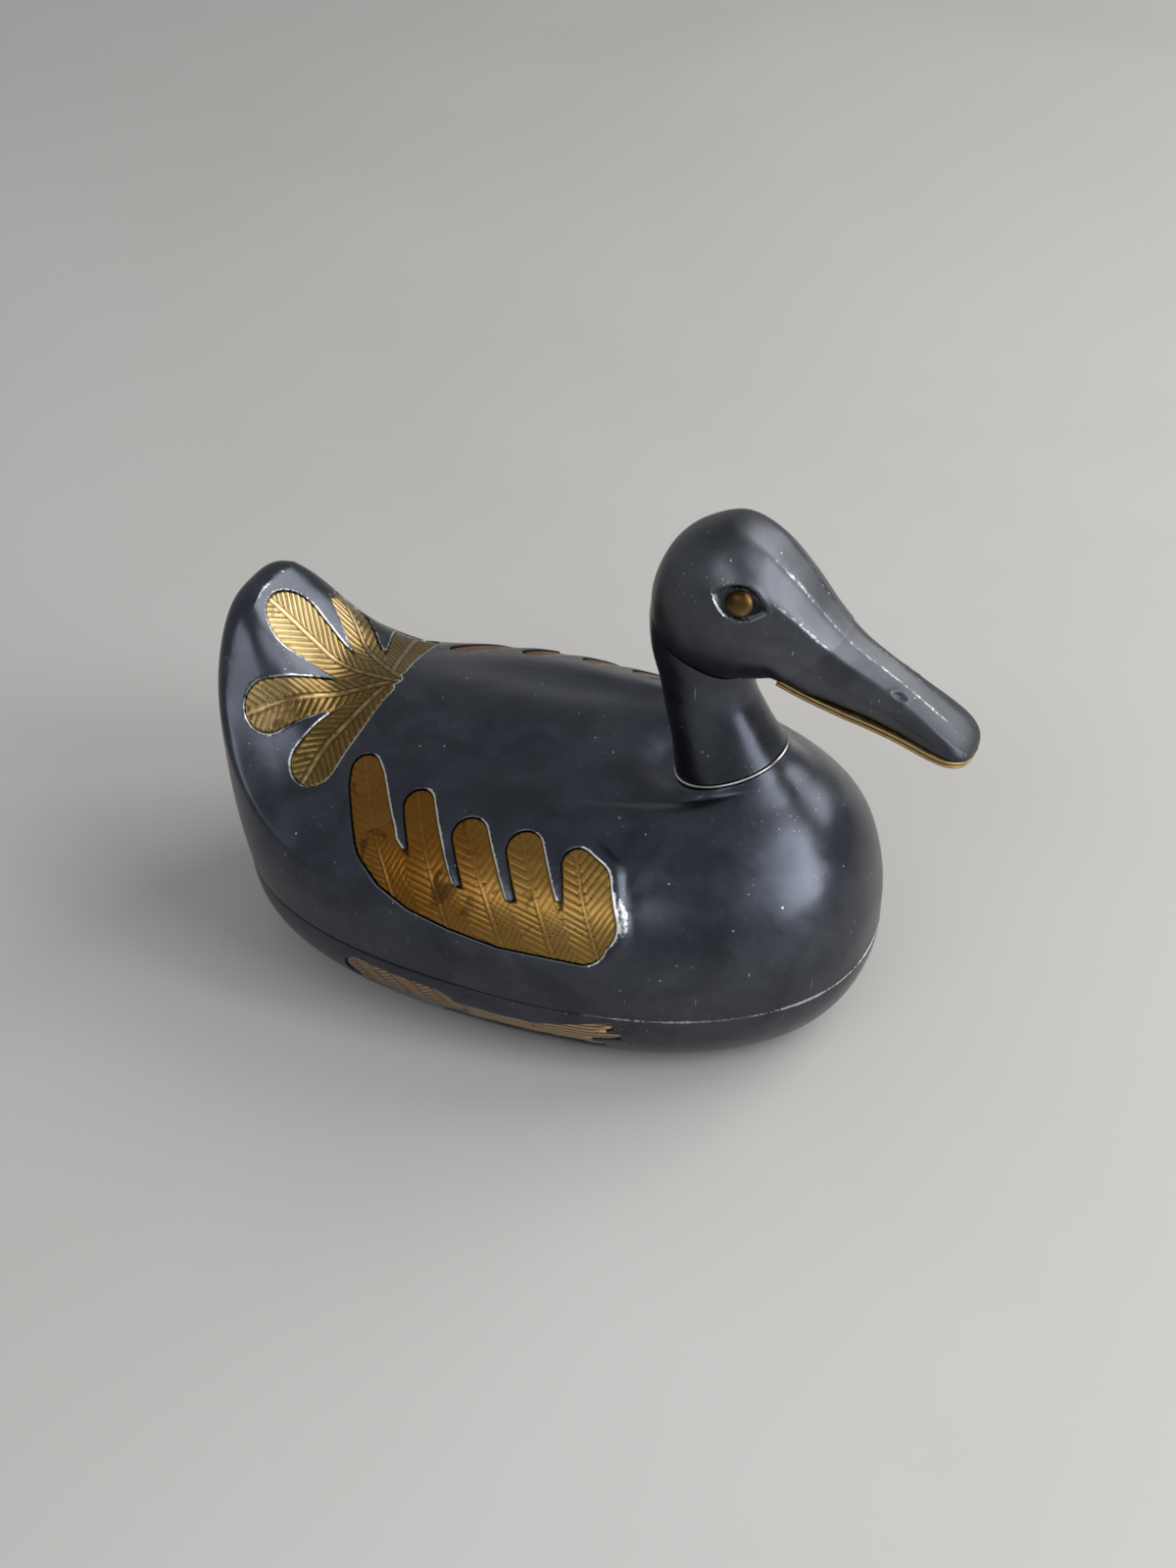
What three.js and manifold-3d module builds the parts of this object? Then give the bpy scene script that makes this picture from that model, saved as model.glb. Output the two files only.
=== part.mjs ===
// Duck trinket box: a hollow pewter duck whose back, breast and head lift off a shallow bowl. Brass
// feathers and legs show through cut-outs in the thin pewter, and brass leaves edge the bill.
// Millimetres, +Z up, bill towards +X. The origin is the middle of the flat underside.
import * as THREE from 'three';
import { ParametricGeometry } from 'three/addons/geometries/ParametricGeometry.js';
import { mergeVertices } from 'three/addons/utils/BufferGeometryUtils.js';
import loadManifold from 'manifold-3d';

const wasm = await loadManifold();
wasm.setup();

// Sheet metal
const WALL = 1.0; // pewter of the bowl, back and neck
const HEAD_WALL = 1.6; // pewter of the head
const BRASS = 0.8; // sheet behind the cut-outs
const LAP = 1.4; // how far a brass sheet reaches behind the edge of its cut-out
const SEAT = 0.4; // solder between a brass sheet and the wall in front of it
const GAP = 0.3; // solder line or running fit between two pieces

// Body
const SEAM_FRONT = 94; // origin to the breast, at the seam
const SEAM_REAR = 87; // origin to the tail wall, at the seam
const HALF_WIDTH = 59; // middle plane to the flank, at the seam
const BASE_DEPTH = 24.5; // underside to seam
const BASE_TURN_IN = 24; // how far the bowl's wall curves in to its flat underside
const BACK_HEIGHT = 49; // seam to the middle of the back
const TAIL_RISE = 22.1; // back to the rim of the tail

// Strip inside the bowl that keeps the lid in place
const RIM_GRIP = 2.2; // below the seam, soldered to the bowl
const RIM_RISE = 4.5; // above the seam, inside the lid
const RIM_THICKNESS = 0.9;

// Neck
const COLLAR_FORWARD = 52; // origin to the middle of the ring where the neck is soldered on
const COLLAR_RISE = 1.5; // back to the middle of that ring
const COLLAR_RADIUS = 15.5;
const COLLAR_TILT = THREE.MathUtils.degToRad(20); // front edge up
const SEAM_RING_HEIGHT = 0.8;
const SEAM_RING_PROUD = 0.25;
const NECK_RADIUS = 12.2; // at its waist
const NECK_RISE = 49.5; // ring to the middle of the head

// Head and bill, from the middle of the head
const HEAD_SHIFT = -1; // ahead of the ring
const HEAD_BACK = 21;
const HEAD_HALF_WIDTH = 17.8;
const CROWN_RISE = 23;
const HEAD_SQUARENESS = 2.2;
const BILL_UNDERSIDE = { squareness: 7, from: 12, to: 28 }; // fuller below, eased in ahead of the cheeks
const BILL_REACH = 66;
const BILL_HALF_WIDTH = 8.6;
const BILL_STEP = 0.8; // how far the bill lies inside the line of the head
const BROW = { forward: 32, rise: -0.5, slant: THREE.MathUtils.degToRad(40.5) };
const MOUTH = { forward: 14, rise: -14.6, pitch: THREE.MathUtils.degToRad(15) };
const BILL_LEAF = 0.8; // thickness of each brass leaf of the bill
const BILL_LIP = 0.6; // how far the leaves stand out beyond the bill
const LEAF_START = 1.2; // corner of the mouth to the back edge of the leaves
const EYE_PLACE = [0.436, 0.337]; // turn and station on the head
const EYE_RADIUS = 3.4;
const EYE_HEIGHT = 2.1;
const SOCKET = { halfLength: 7, halfHeight: 4.4, depth: 0.9 };
const NOSTRIL_PLACE = [0.38, 0.688];
const NOSTRIL = { halfLength: 2.4, halfWidth: 0.9, depth: 0.8 };

// Facets
const BODY_AROUND = 36;
const LID_ALONG = 22;
const BASE_ALONG = 6;
const NECK_AROUND = 20;
const NECK_ALONG = 6;
const HEAD_AROUND = 20;
const HEAD_ALONG = 20;
const ARC_FACETS = 4;

const PEWTER = { color: 0x343843, roughness: 0.36, metalness: 0.9 };
const BRIGHT_PEWTER = { color: 0xa9adb2, roughness: 0.3, metalness: 0.95 };
const TARNISHED_BRASS = { color: 0x9a742c, roughness: 0.38, metalness: 0.95 };

const UP = new THREE.Vector3(0, 0, 1);
const ALONG_BODY = new THREE.Vector3(1, 0, 0);

// Solids

function toSolid(geometry) {
  const bare = geometry.clone();
  bare.deleteAttribute('normal');
  bare.deleteAttribute('uv');
  const welded = mergeVertices(bare);
  const corners = welded.index.array;
  const triangles = [];
  for (let i = 0; i < corners.length; i += 3) {
    const [a, b, c] = [corners[i], corners[i + 1], corners[i + 2]];
    if (a !== b && b !== c && c !== a) triangles.push(a, b, c);
  }
  const vertProperties = new Float32Array(welded.attributes.position.array);
  const triVerts = new Uint32Array(triangles);
  return new wasm.Manifold(new wasm.Mesh({ numProp: 3, vertProperties, triVerts }));
}

function toGeometry(solid) {
  const { vertProperties, triVerts } = solid.getMesh();
  const geometry = new THREE.BufferGeometry();
  geometry.setAttribute('position', new THREE.BufferAttribute(vertProperties, 3));
  geometry.setIndex(new THREE.BufferAttribute(triVerts, 1));
  geometry.computeVertexNormals();
  return geometry;
}

function union(solids) {
  return solids.reduce((whole, solid) => whole.add(solid));
}

function mirrored(solid) {
  const geometry = toGeometry(solid).scale(1, -1, 1);
  const corners = geometry.index.array;
  for (let i = 0; i < corners.length; i += 3) {
    [corners[i], corners[i + 1]] = [corners[i + 1], corners[i]];
  }
  return toSolid(geometry);
}

// Everything on the far side of a plane: a large block whose face lies on the plane
function halfSpace(point, direction) {
  const size = 400;
  const block = new THREE.BoxGeometry(size, size, size).translate(0, 0, size / 2);
  const turn = new THREE.Quaternion().setFromUnitVectors(UP, direction.clone().normalize());
  return toSolid(block.applyQuaternion(turn).translate(point.x, point.y, point.z));
}

// A closed wall between an outer and an inner surface, each a function of a turn and a rise (0 to 1).
// Each four-sided facet is split along its shorter diagonal, in the same way on both faces.
function wallBetween(outer, inner, around, along) {
  const points = [];
  for (const surface of [outer, inner]) {
    for (let j = 0; j <= along; j += 1) {
      for (let i = 0; i < around; i += 1) points.push(surface(i / around, j / along));
    }
  }
  const toInner = around * (along + 1);
  const at = (i, j) => j * around + i % around;
  const span = (p, q) => points[p].distanceTo(points[q]);
  const triangles = [];
  for (let i = 0; i < around; i += 1) {
    for (let j = 0; j < along; j += 1) {
      const [a, b, c, d] = [at(i, j), at(i + 1, j), at(i + 1, j + 1), at(i, j + 1)];
      const split = span(a, c) < span(b, d) ? [[a, b, c], [a, c, d]] : [[a, b, d], [b, c, d]];
      for (const [p, q, r] of split) triangles.push(p, q, r, r + toInner, q + toInner, p + toInner);
    }
    const edges = [[at(i + 1, 0), at(i, 0)], [at(i, along), at(i + 1, along)]];
    for (const [p, q] of edges) triangles.push(p, q, q + toInner, p, q + toInner, p + toInner);
  }
  return toSolid(new THREE.BufferGeometry().setFromPoints(points).setIndex(triangles));
}

// Outward normal of a surface, from its slopes round and up
function normalOf(surface, turn, rise) {
  const step = 0.002;
  const low = Math.max(rise - step, 0);
  const high = Math.min(rise + step, 1);
  const round = surface(turn + step, rise).sub(surface(turn - step, rise));
  const up = surface(turn, high).sub(surface(turn, low));
  return round.cross(up).normalize();
}

// The same surface, moved inwards; its free edges can be kept level
function insetOf(surface, depth, levelRise) {
  return (turn, rise) => {
    const normal = normalOf(surface, turn, rise);
    if (rise === levelRise) normal.setZ(0).normalize();
    return surface(turn, rise).addScaledVector(normal, -depth);
  };
}

// Values between the rows of a form, eased so that the surface has no crease at a row
function formAt(form, rise) {
  const i = Math.max(1, form.findIndex((row) => rise <= row.rise));
  const [low, high] = [form[i - 1], form[i]];
  const share = THREE.MathUtils.smoothstep(rise, low.rise, high.rise);
  const between = (key) => mix(low[key], high[key], share);
  return {
    square: between('square'),
    fall: between('fall'),
    taper: between('taper'),
    flat: between('flat'),
  };
}

const mix = THREE.MathUtils.lerp;

// Distance from the middle to a squared circle; a squareness of 2 is round
function squaredReach(cos, sin, squareness) {
  return (Math.abs(cos) ** squareness + Math.abs(sin) ** squareness) ** (-1 / squareness);
}

// Lid surface: rings from the seam (rise 0) to the neck ring (rise 1), each carried by three guides
// that run up the tail and along the back, up the breast, and up the flank. Heights are from the seam.

const collar = new THREE.Vector3(COLLAR_FORWARD, 0, BACK_HEIGHT + COLLAR_RISE);
const collarRun = COLLAR_RADIUS * Math.cos(COLLAR_TILT);
const collarClimb = COLLAR_RADIUS * Math.sin(COLLAR_TILT);
const collarFront = { x: collar.x + collarRun, z: collar.z + collarClimb };
const collarRear = { x: collar.x - collarRun, z: collar.z - collarClimb };

function guide(points) {
  const knots = points.map(([x, y, z]) => new THREE.Vector3(x, y, z));
  return new THREE.CatmullRomCurve3(knots, false, 'catmullrom');
}

const tailTop = BACK_HEIGHT + TAIL_RISE;
const scoopEnd = -SEAM_REAR + 37; // where the tail's scoop meets the level back
const alongBack = (share) => mix(scoopEnd, collarRear.x, share);
const rearGuide = guide([
  [-SEAM_REAR, 0, 0],
  [-SEAM_REAR - 3.4, 0, 0.31 * tailTop],
  [-SEAM_REAR - 5.8, 0, 0.62 * tailTop],
  [-SEAM_REAR - 7, 0, 0.83 * tailTop],
  [-SEAM_REAR - 4.4, 0, tailTop - 2.3],
  [-SEAM_REAR + 0.6, 0, tailTop],
  [-SEAM_REAR + 8, 0, tailTop - 5.3],
  [-SEAM_REAR + 17, 0, BACK_HEIGHT + 0.37 * TAIL_RISE],
  [-SEAM_REAR + 25, 0, BACK_HEIGHT + 1.5],
  [scoopEnd, 0, BACK_HEIGHT - 0.5],
  [alongBack(0.27), 0, BACK_HEIGHT],
  [alongBack(0.57), 0, BACK_HEIGHT + 0.5],
  [alongBack(0.84), 0, BACK_HEIGHT - 2],
  [alongBack(0.955), 0, collarRear.z - 0.5],
  [collarRear.x, 0, collarRear.z],
]);

const breastX = (share) => mix(SEAM_FRONT, collarFront.x, share);
const frontGuide = guide([
  [breastX(0), 0, 0],
  [breastX(0.02), 0, 0.25 * collarFront.z],
  [breastX(0.15), 0, 0.53 * collarFront.z],
  [breastX(0.42), 0, 0.74 * collarFront.z],
  [breastX(0.73), 0, 0.875 * collarFront.z],
  [breastX(0.91), 0, 0.95 * collarFront.z],
  [breastX(1), 0, collarFront.z],
]);

const flankY = (share) => mix(COLLAR_RADIUS, HALF_WIDTH, share);
const sideGuide = guide([
  [2, flankY(1), 0],
  [0, flankY(1.046), 0.24 * collar.z],
  [-3, flankY(1.01), 0.415 * collar.z],
  [-4, flankY(0.895), 0.59 * collar.z],
  [-4, flankY(0.72), 0.715 * collar.z],
  [-1, flankY(0.54), 0.8 * collar.z],
  [10, flankY(0.335), 0.88 * collar.z],
  [mix(10, collar.x, 0.55), flankY(0.17), 0.905 * collar.z],
  [mix(10, collar.x, 0.9), flankY(0.055), 0.935 * collar.z],
  [collar.x, COLLAR_RADIUS, collar.z],
]);

// How the rings are drawn, at given rises: how square they are, how quickly they fall from the end to
// the flank, how much narrower they are at the end, and how flat their top is
const REAR_FORM = [
  { rise: 0, square: 2.5, fall: 1.35, taper: 0, flat: 2 },
  { rise: 0.2, square: 2.5, fall: 1.8, taper: 0.08, flat: 2.6 },
  { rise: 0.37, square: 2.6, fall: 4.2, taper: 0.3, flat: 4 },
  { rise: 0.6, square: 2.1, fall: 3, taper: 0.15, flat: 2.3 },
  { rise: 1, square: 2, fall: 0.5, taper: 0, flat: 2 },
];
const FRONT_FORM = [
  { rise: 0, square: 2.2, fall: 1, taper: 0, flat: 2 },
  { rise: 1, square: 2, fall: 0.5, taper: 0, flat: 2 },
];

function lidSurface(turn, rise) {
  const angle = 2 * Math.PI * turn;
  const [cos, sin] = [Math.cos(angle), Math.sin(angle)];
  const ahead = cos >= 0;
  const end = (ahead ? frontGuide : rearGuide).getPoint(rise);
  const side = sideGuide.getPoint(rise);
  const { square, fall, taper, flat } = formAt(ahead ? FRONT_FORM : REAR_FORM, rise);
  const reach = squaredReach(cos, sin, square);
  const along = reach * Math.abs(cos);
  const out = reach * sin;
  const level = Math.max(0, 1 - Math.abs(out) ** flat) ** fall;
  return new THREE.Vector3(
    mix(side.x, end.x, along),
    side.y * out * (1 - taper * along * along),
    mix(side.z, end.z, level),
  );
}

// Base surface: a quarter ellipse from the flat underside (rise 0) out and up to the seam (rise 1)
function baseSurface(turn, rise) {
  const angle = 0.5 * Math.PI * rise;
  const inwards = normalOf(lidSurface, turn, 0).setZ(0).normalize();
  const point = lidSurface(turn, 0).addScaledVector(inwards, -BASE_TURN_IN * (1 - Math.sin(angle)));
  return point.setZ(BASE_DEPTH * (1 - Math.cos(angle)));
}

// Feathers: tapered strips with round ends, drawn on a plane and cut straight through a wall

function stripShape(length, startRadius, endRadius) {
  const lean = Math.acos((startRadius - endRadius) / length);
  const shape = new THREE.Shape();
  shape.absarc(0, 0, startRadius, lean, 2 * Math.PI - lean, false);
  shape.absarc(length, 0, endRadius, -lean, lean, false);
  return shape;
}

// A prism that carries a shape drawn with its x axis along a direction, its face across a normal
function prismOn(shape, origin, along, normal, inside, outside) {
  const options = { depth: inside + outside, bevelEnabled: false, curveSegments: ARC_FACETS };
  const across = normal.clone().cross(along);
  const place = new THREE.Matrix4().makeBasis(along, across, normal);
  place.setPosition(origin.clone().addScaledVector(normal, -inside));
  return toSolid(new THREE.ExtrudeGeometry(shape, options).applyMatrix4(place));
}

// The strip ends at the tip; grow widens it all round
function stripCutter(root, tip, [rootRadius, tipRadius], normal, [inside, outside], grow) {
  const along = tip.clone().sub(root).projectOnPlane(normal);
  const shape = stripShape(along.length() - tipRadius, rootRadius + grow, tipRadius + grow);
  return prismOn(shape, root, along.normalize(), normal, inside, outside);
}

// A plane that touches a surface: its first axis lies along the body, its second up the wall
function planeOn(surface, [turn, rise]) {
  const normal = normalOf(surface, turn, rise);
  const along = ALONG_BODY.clone().projectOnPlane(normal).normalize();
  const up = normal.clone().cross(along);
  const at = ([x, y]) => surface(turn, rise).addScaledVector(along, x).addScaledVector(up, y);
  return { normal, along, at };
}

// Tail fan: five feathers from right to left, given by turn and rise on the lid. The fan leans a little
// to the right, as a hand-cut one does.
const TAIL_FEATHERS = [
  { root: [0.531, 0.645], tip: [0.644, 0.381], radii: [3.4, 6.9], reach: [10, 8] },
  { root: [0.52, 0.643], tip: [0.603, 0.309], radii: [3.6, 7.1], reach: [12, 9] },
  { root: [0.503, 0.655], tip: [0.52, 0.397], radii: [4, 9.7], reach: [7, 11] },
  { root: [0.483, 0.645], tip: [0.411, 0.378], radii: [2.9, 7.3], reach: [10, 10] },
  { root: [0.475, 0.642], tip: [0.358, 0.4], radii: [3.9, 6.6], reach: [10, 8] },
];

function tailCutter(grow) {
  const cutters = TAIL_FEATHERS.map(({ root, tip, radii, reach }) => {
    const normal = normalOf(lidSurface, ...root).add(normalOf(lidSurface, ...tip)).normalize();
    return stripCutter(lidSurface(...root), lidSurface(...tip), radii, normal, reach, grow);
  });
  return union(cutters);
}

// Wing and leg: strips in millimetres on a plane, forwards and up. After the wing's five feathers come
// the fuller front edge and the three strips of the hand.
const WING_PLACE = [0.755, 0.34];
const WING_REACH = [18, 6];
const WING_STRIPS = [
  { root: [-28.7, 6.9], tip: [-42.1, 26.9], radii: [5.3, 4.3] },
  { root: [-6, -5.6], tip: [-22.5, 21.5], radii: [5.6, 4.6] },
  { root: [7.9, -3.8], tip: [-5.8, 17.6], radii: [5.7, 5.2] },
  { root: [22.6, -3.2], tip: [9.8, 18], radii: [5.7, 5.3] },
  { root: [35.2, -1.5], tip: [25.4, 17.4], radii: [6.2, 4.5] },
  { root: [35.2, -1], tip: [30.8, 15.4], radii: [6.9, 5.4] },
  { root: [-28, 4], tip: [1.5, -9], radii: [5, 4.9] },
  { root: [-4, -7], tip: [19.5, -7], radii: [4.9, 6.5] },
  { root: [12, -7], tip: [40.9, -4.4], radii: [6.5, 6.9] },
];

const LEG_PLACE = [0.75, 0.74];
const LEG_REACH = [8, 4];
const LEG_STRIPS = [
  { root: [-34, -0.6], tip: [-4.4, -1], radii: [6.2, 6.7] },
  { root: [-8, -2], tip: [27, -0.6], radii: [4.3, 3.6] },
  { root: [22, 0.6], tip: [40, 5.4], radii: [2.9, 1.8] },
  { root: [22, -0.6], tip: [41.6, 0.6], radii: [2.9, 1.8] },
  { root: [22, -1.6], tip: [36.6, -5.4], radii: [2.9, 1.8] },
];

function stripsOn(surface, place, strips, reach, grow) {
  const { normal, at } = planeOn(surface, place);
  const cutters = strips.map(({ root, tip, radii }) => (
    stripCutter(at(root), at(tip), radii, normal, reach, grow)
  ));
  return union(cutters);
}

const wingCutter = (grow) => stripsOn(lidSurface, WING_PLACE, WING_STRIPS, WING_REACH, grow);
const legCutter = (grow) => stripsOn(baseSurface, LEG_PLACE, LEG_STRIPS, LEG_REACH, grow);

// Neck surface: rings round an axis that leans back from the collar and turns up into the head

const neckDirection = new THREE.Vector3(-Math.sin(COLLAR_TILT), 0, Math.cos(COLLAR_TILT));
const ringFoot = collar.clone().addScaledVector(neckDirection, GAP);
const neckFoot = ringFoot.clone().addScaledVector(neckDirection, SEAM_RING_HEIGHT + GAP);
const neckKnee = neckFoot.clone().addScaledVector(neckDirection, 8);
const upNeck = (share) => collar.z + share * NECK_RISE;
const neckGuide = guide([
  [neckFoot.x, COLLAR_RADIUS - 0.3, neckFoot.z],
  [neckKnee.x, NECK_RADIUS + 1.2, neckKnee.z],
  [collar.x - 6.3, NECK_RADIUS, upNeck(0.355)],
  [collar.x - 8.1, NECK_RADIUS, upNeck(0.535)],
  [collar.x - 9.4, NECK_RADIUS + 1, upNeck(0.717)],
  [collar.x - 8.8, NECK_RADIUS + 1.6, upNeck(0.9)],
  [collar.x - 5.5, NECK_RADIUS + 0.6, upNeck(1.06)],
]);

function neckSurface(turn, rise, inset = 0) {
  const axis = neckGuide.getTangent(rise).setY(0).normalize();
  const { x, y: outer, z } = neckGuide.getPoint(rise);
  const radius = outer - inset;
  const forward = radius * Math.cos(2 * Math.PI * turn);
  const across = radius * Math.sin(2 * Math.PI * turn);
  return new THREE.Vector3(x + forward * axis.z, across, z - forward * axis.x);
}

const neckBore = (turn, rise) => neckSurface(turn, rise, WALL);

// Head surface: upright sections from the nape (station 0) to the tip of the bill (station 1)

const head = collar.clone().add(new THREE.Vector3(HEAD_SHIFT, 0, NECK_RISE));
// Forward, top, bottom and half width of each section
const HEAD_SECTIONS = [
  [-HEAD_BACK, -2, -2, 0],
  [-HEAD_BACK + 1.2, 5.5, -9.5, 0.4 * HEAD_HALF_WIDTH],
  [-HEAD_BACK + 5, CROWN_RISE - 9.5, -16, 0.71 * HEAD_HALF_WIDTH],
  [-HEAD_BACK + 11.5, CROWN_RISE - 3.7, -20, 0.91 * HEAD_HALF_WIDTH],
  [0, CROWN_RISE, -21, HEAD_HALF_WIDTH],
  [9, CROWN_RISE - 2.5, -19, 0.955 * HEAD_HALF_WIDTH],
  [17, 13.2, -17, 0.8 * HEAD_HALF_WIDTH],
  [25, 4, -18.2, 0.635 * HEAD_HALF_WIDTH],
  [32, -2.8, -20, BILL_HALF_WIDTH + 1],
  [BILL_REACH - 26, -8, -22.2, BILL_HALF_WIDTH],
  [BILL_REACH - 17, -13.5, -25, BILL_HALF_WIDTH],
  [BILL_REACH - 9, -19, -27.4, BILL_HALF_WIDTH + 0.7],
  [BILL_REACH - 4, -22.7, -28.8, BILL_HALF_WIDTH],
  [BILL_REACH - 1, -25.5, -29.2, BILL_HALF_WIDTH - 3.1],
  [BILL_REACH, -27.5, -28.8, 0],
];
const headHeights = guide(HEAD_SECTIONS.map(([x, top, bottom]) => [x, top, bottom]));
const headWidths = guide(HEAD_SECTIONS.map(([x, , , halfWidth]) => [x, halfWidth, 0]));
const headMiddle = (BILL_REACH - HEAD_BACK) / 2;
const headHalfLength = (BILL_REACH + HEAD_BACK) / 2;

// Inset draws the same form smaller, by that much at the nape, the crown and the cheeks
function headSurface(turn, station, inset = 0) {
  const { x, y: top, z: bottom } = headHeights.getPoint(station);
  const halfWidth = Math.max(0, headWidths.getPoint(station).y) * (1 - inset / HEAD_HALF_WIDTH);
  const halfHeight = 0.5 * Math.max(0, top - bottom) * (1 - inset / CROWN_RISE);
  const angle = 2 * Math.PI * turn;
  const [cos, sin] = [Math.cos(angle), Math.sin(angle)];
  const { squareness, from, to } = BILL_UNDERSIDE;
  const fullness = sin < 0 ? THREE.MathUtils.smoothstep(x, from, to) : 0;
  const reach = squaredReach(cos, sin, mix(HEAD_SQUARENESS, squareness, fullness));
  return new THREE.Vector3(
    head.x + headMiddle + (x - headMiddle) * (1 - inset / headHalfLength),
    halfWidth * reach * cos,
    head.z + (top + bottom) / 2 + halfHeight * reach * sin,
  );
}

function headSolid(inset) {
  const surface = (turn, station, target) => target.copy(headSurface(turn, station, inset));
  return toSolid(new ParametricGeometry(surface, HEAD_AROUND, HEAD_ALONG));
}

// Planes that part the head from the bill, and the bill from its leaves

const browPoint = head.clone().add(new THREE.Vector3(BROW.forward, 0, BROW.rise));
const browNormal = new THREE.Vector3(Math.sin(BROW.slant), 0, -Math.cos(BROW.slant));
const mouthPoint = head.clone().add(new THREE.Vector3(MOUTH.forward, 0, MOUTH.rise));
const mouthNormal = new THREE.Vector3(-Math.sin(MOUTH.pitch), 0, -Math.cos(MOUTH.pitch));
const billSpace = halfSpace(browPoint.clone().addScaledVector(browNormal, GAP / 2), browNormal);
const browSpace = halfSpace(browPoint.clone().addScaledVector(browNormal, -GAP / 2), browNormal);
const belowMouth = halfSpace(mouthPoint, mouthNormal);
const mouthSpace = belowMouth.intersect(halfSpace(mouthPoint, ALONG_BODY));

// Pits sunk to an even depth in the head or bill, one on each side
function pits(shape, place, depth) {
  const normal = normalOf(headSurface, ...place);
  const along = ALONG_BODY.clone().projectOnPlane(normal).normalize();
  const prism = prismOn(shape, headSurface(...place), along, normal, 4, 4);
  const pit = prism.subtract(headSolid(depth));
  return pit.add(mirrored(pit));
}

function almond(halfLength, halfHeight) {
  const shape = new THREE.Shape();
  shape.moveTo(-halfLength, 0);
  shape.quadraticCurveTo(0, -2 * halfHeight, halfLength, 0);
  shape.quadraticCurveTo(0, 2 * halfHeight, -halfLength, 0);
  return shape;
}

// Plan of a bill leaf, from the corner of the mouth; it follows the bill and stands out by the lip
function leafShape() {
  const length = (BILL_REACH - MOUTH.forward) / Math.cos(MOUTH.pitch) - BILL_LIP;
  const half = BILL_HALF_WIDTH + BILL_LIP;
  const side = [[9, half + 0.6], [19, half + 0.5], [27, half], [length - 18, half],
    [length - 10, half + 0.7], [length - 4.6, half], [length - 1.2, half - 3.1]];
  const near = side.map(([x, y]) => new THREE.Vector2(x, -y));
  const far = side.map(([x, y]) => new THREE.Vector2(x, y)).reverse();
  const shape = new THREE.Shape();
  shape.moveTo(LEAF_START, -half);
  shape.splineThru([...near, new THREE.Vector2(length, 0), ...far, new THREE.Vector2(LEAF_START, half)]);
  return shape;
}

function leafGeometry() {
  const options = { depth: BILL_LEAF, bevelEnabled: false, curveSegments: 2 };
  return new THREE.ExtrudeGeometry(leafShape(), options);
}

// Model

const box = new THREE.Group();
const base = new THREE.Group();
const lid = new THREE.Group();
lid.position.z = BASE_DEPTH + GAP;
box.add(base, lid);

function addPiece(group, name, geometry, finish) {
  const mesh = new THREE.Mesh(geometry, new THREE.MeshStandardMaterial(finish));
  mesh.name = name;
  group.add(mesh);
  return mesh;
}

function addSolid(group, name, solid, finish) {
  return addPiece(group, name, toGeometry(solid), finish);
}

// Sheet that lies against the inside of a wall
function liner(surface, along) {
  const [near, far] = [WALL + SEAT, WALL + SEAT + BRASS];
  return wallBetween(insetOf(surface, near), insetOf(surface, far), BODY_AROUND, along);
}

function addBase() {
  const bowl = wallBetween(baseSurface, insetOf(baseSurface, WALL, 1), BODY_AROUND, BASE_ALONG);
  const leg = legCutter(0);
  addSolid(base, 'base_shell', bowl.subtract(leg).subtract(mirrored(leg)), PEWTER);

  const outline = Array.from({ length: BODY_AROUND }, (_, i) => {
    const point = baseSurface(i / BODY_AROUND, 0);
    const run = Math.hypot(point.x, point.y);
    return new THREE.Vector2(point.x, point.y).multiplyScalar(1 - GAP / run);
  });
  const floor = new THREE.ExtrudeGeometry(new THREE.Shape(outline), { depth: WALL, bevelEnabled: false });
  addPiece(base, 'base_floor', floor, PEWTER);

  const strip = (depth) => (turn, rise) => {
    const inwards = normalOf(lidSurface, turn, 0).setZ(0).normalize();
    const point = lidSurface(turn, 0).addScaledVector(inwards, -depth);
    return point.setZ(BASE_DEPTH - RIM_GRIP + rise * (RIM_GRIP + RIM_RISE));
  };
  const rim = wallBetween(strip(WALL + SEAT), strip(WALL + SEAT + RIM_THICKNESS), BODY_AROUND, 1);
  addSolid(base, 'locating_rim', rim, PEWTER);

  const rimFoot = new THREE.Vector3(0, 0, BASE_DEPTH - RIM_GRIP - GAP);
  const plate = liner(baseSurface, BASE_ALONG).intersect(legCutter(LAP)).subtract(halfSpace(rimFoot, UP));
  addSolid(base, 'leg_plate_right', plate, TARNISHED_BRASS);
  addSolid(base, 'leg_plate_left', mirrored(plate), TARNISHED_BRASS);
}

function addBody() {
  const shell = wallBetween(lidSurface, insetOf(lidSurface, WALL, 0), BODY_AROUND, LID_ALONG);
  const wing = wingCutter(0);
  const cutOuts = union([tailCutter(0), wing, mirrored(wing)]);
  addSolid(lid, 'lid_shell', shell.subtract(cutOuts), PEWTER);

  const lining = liner(lidSurface, LID_ALONG);
  addSolid(lid, 'tail_fan_plate', lining.intersect(tailCutter(LAP)), TARNISHED_BRASS);
  const plate = lining.intersect(wingCutter(LAP));
  addSolid(lid, 'wing_plate_right', plate, TARNISHED_BRASS);
  addSolid(lid, 'wing_plate_left', mirrored(plate), TARNISHED_BRASS);
}

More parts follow.
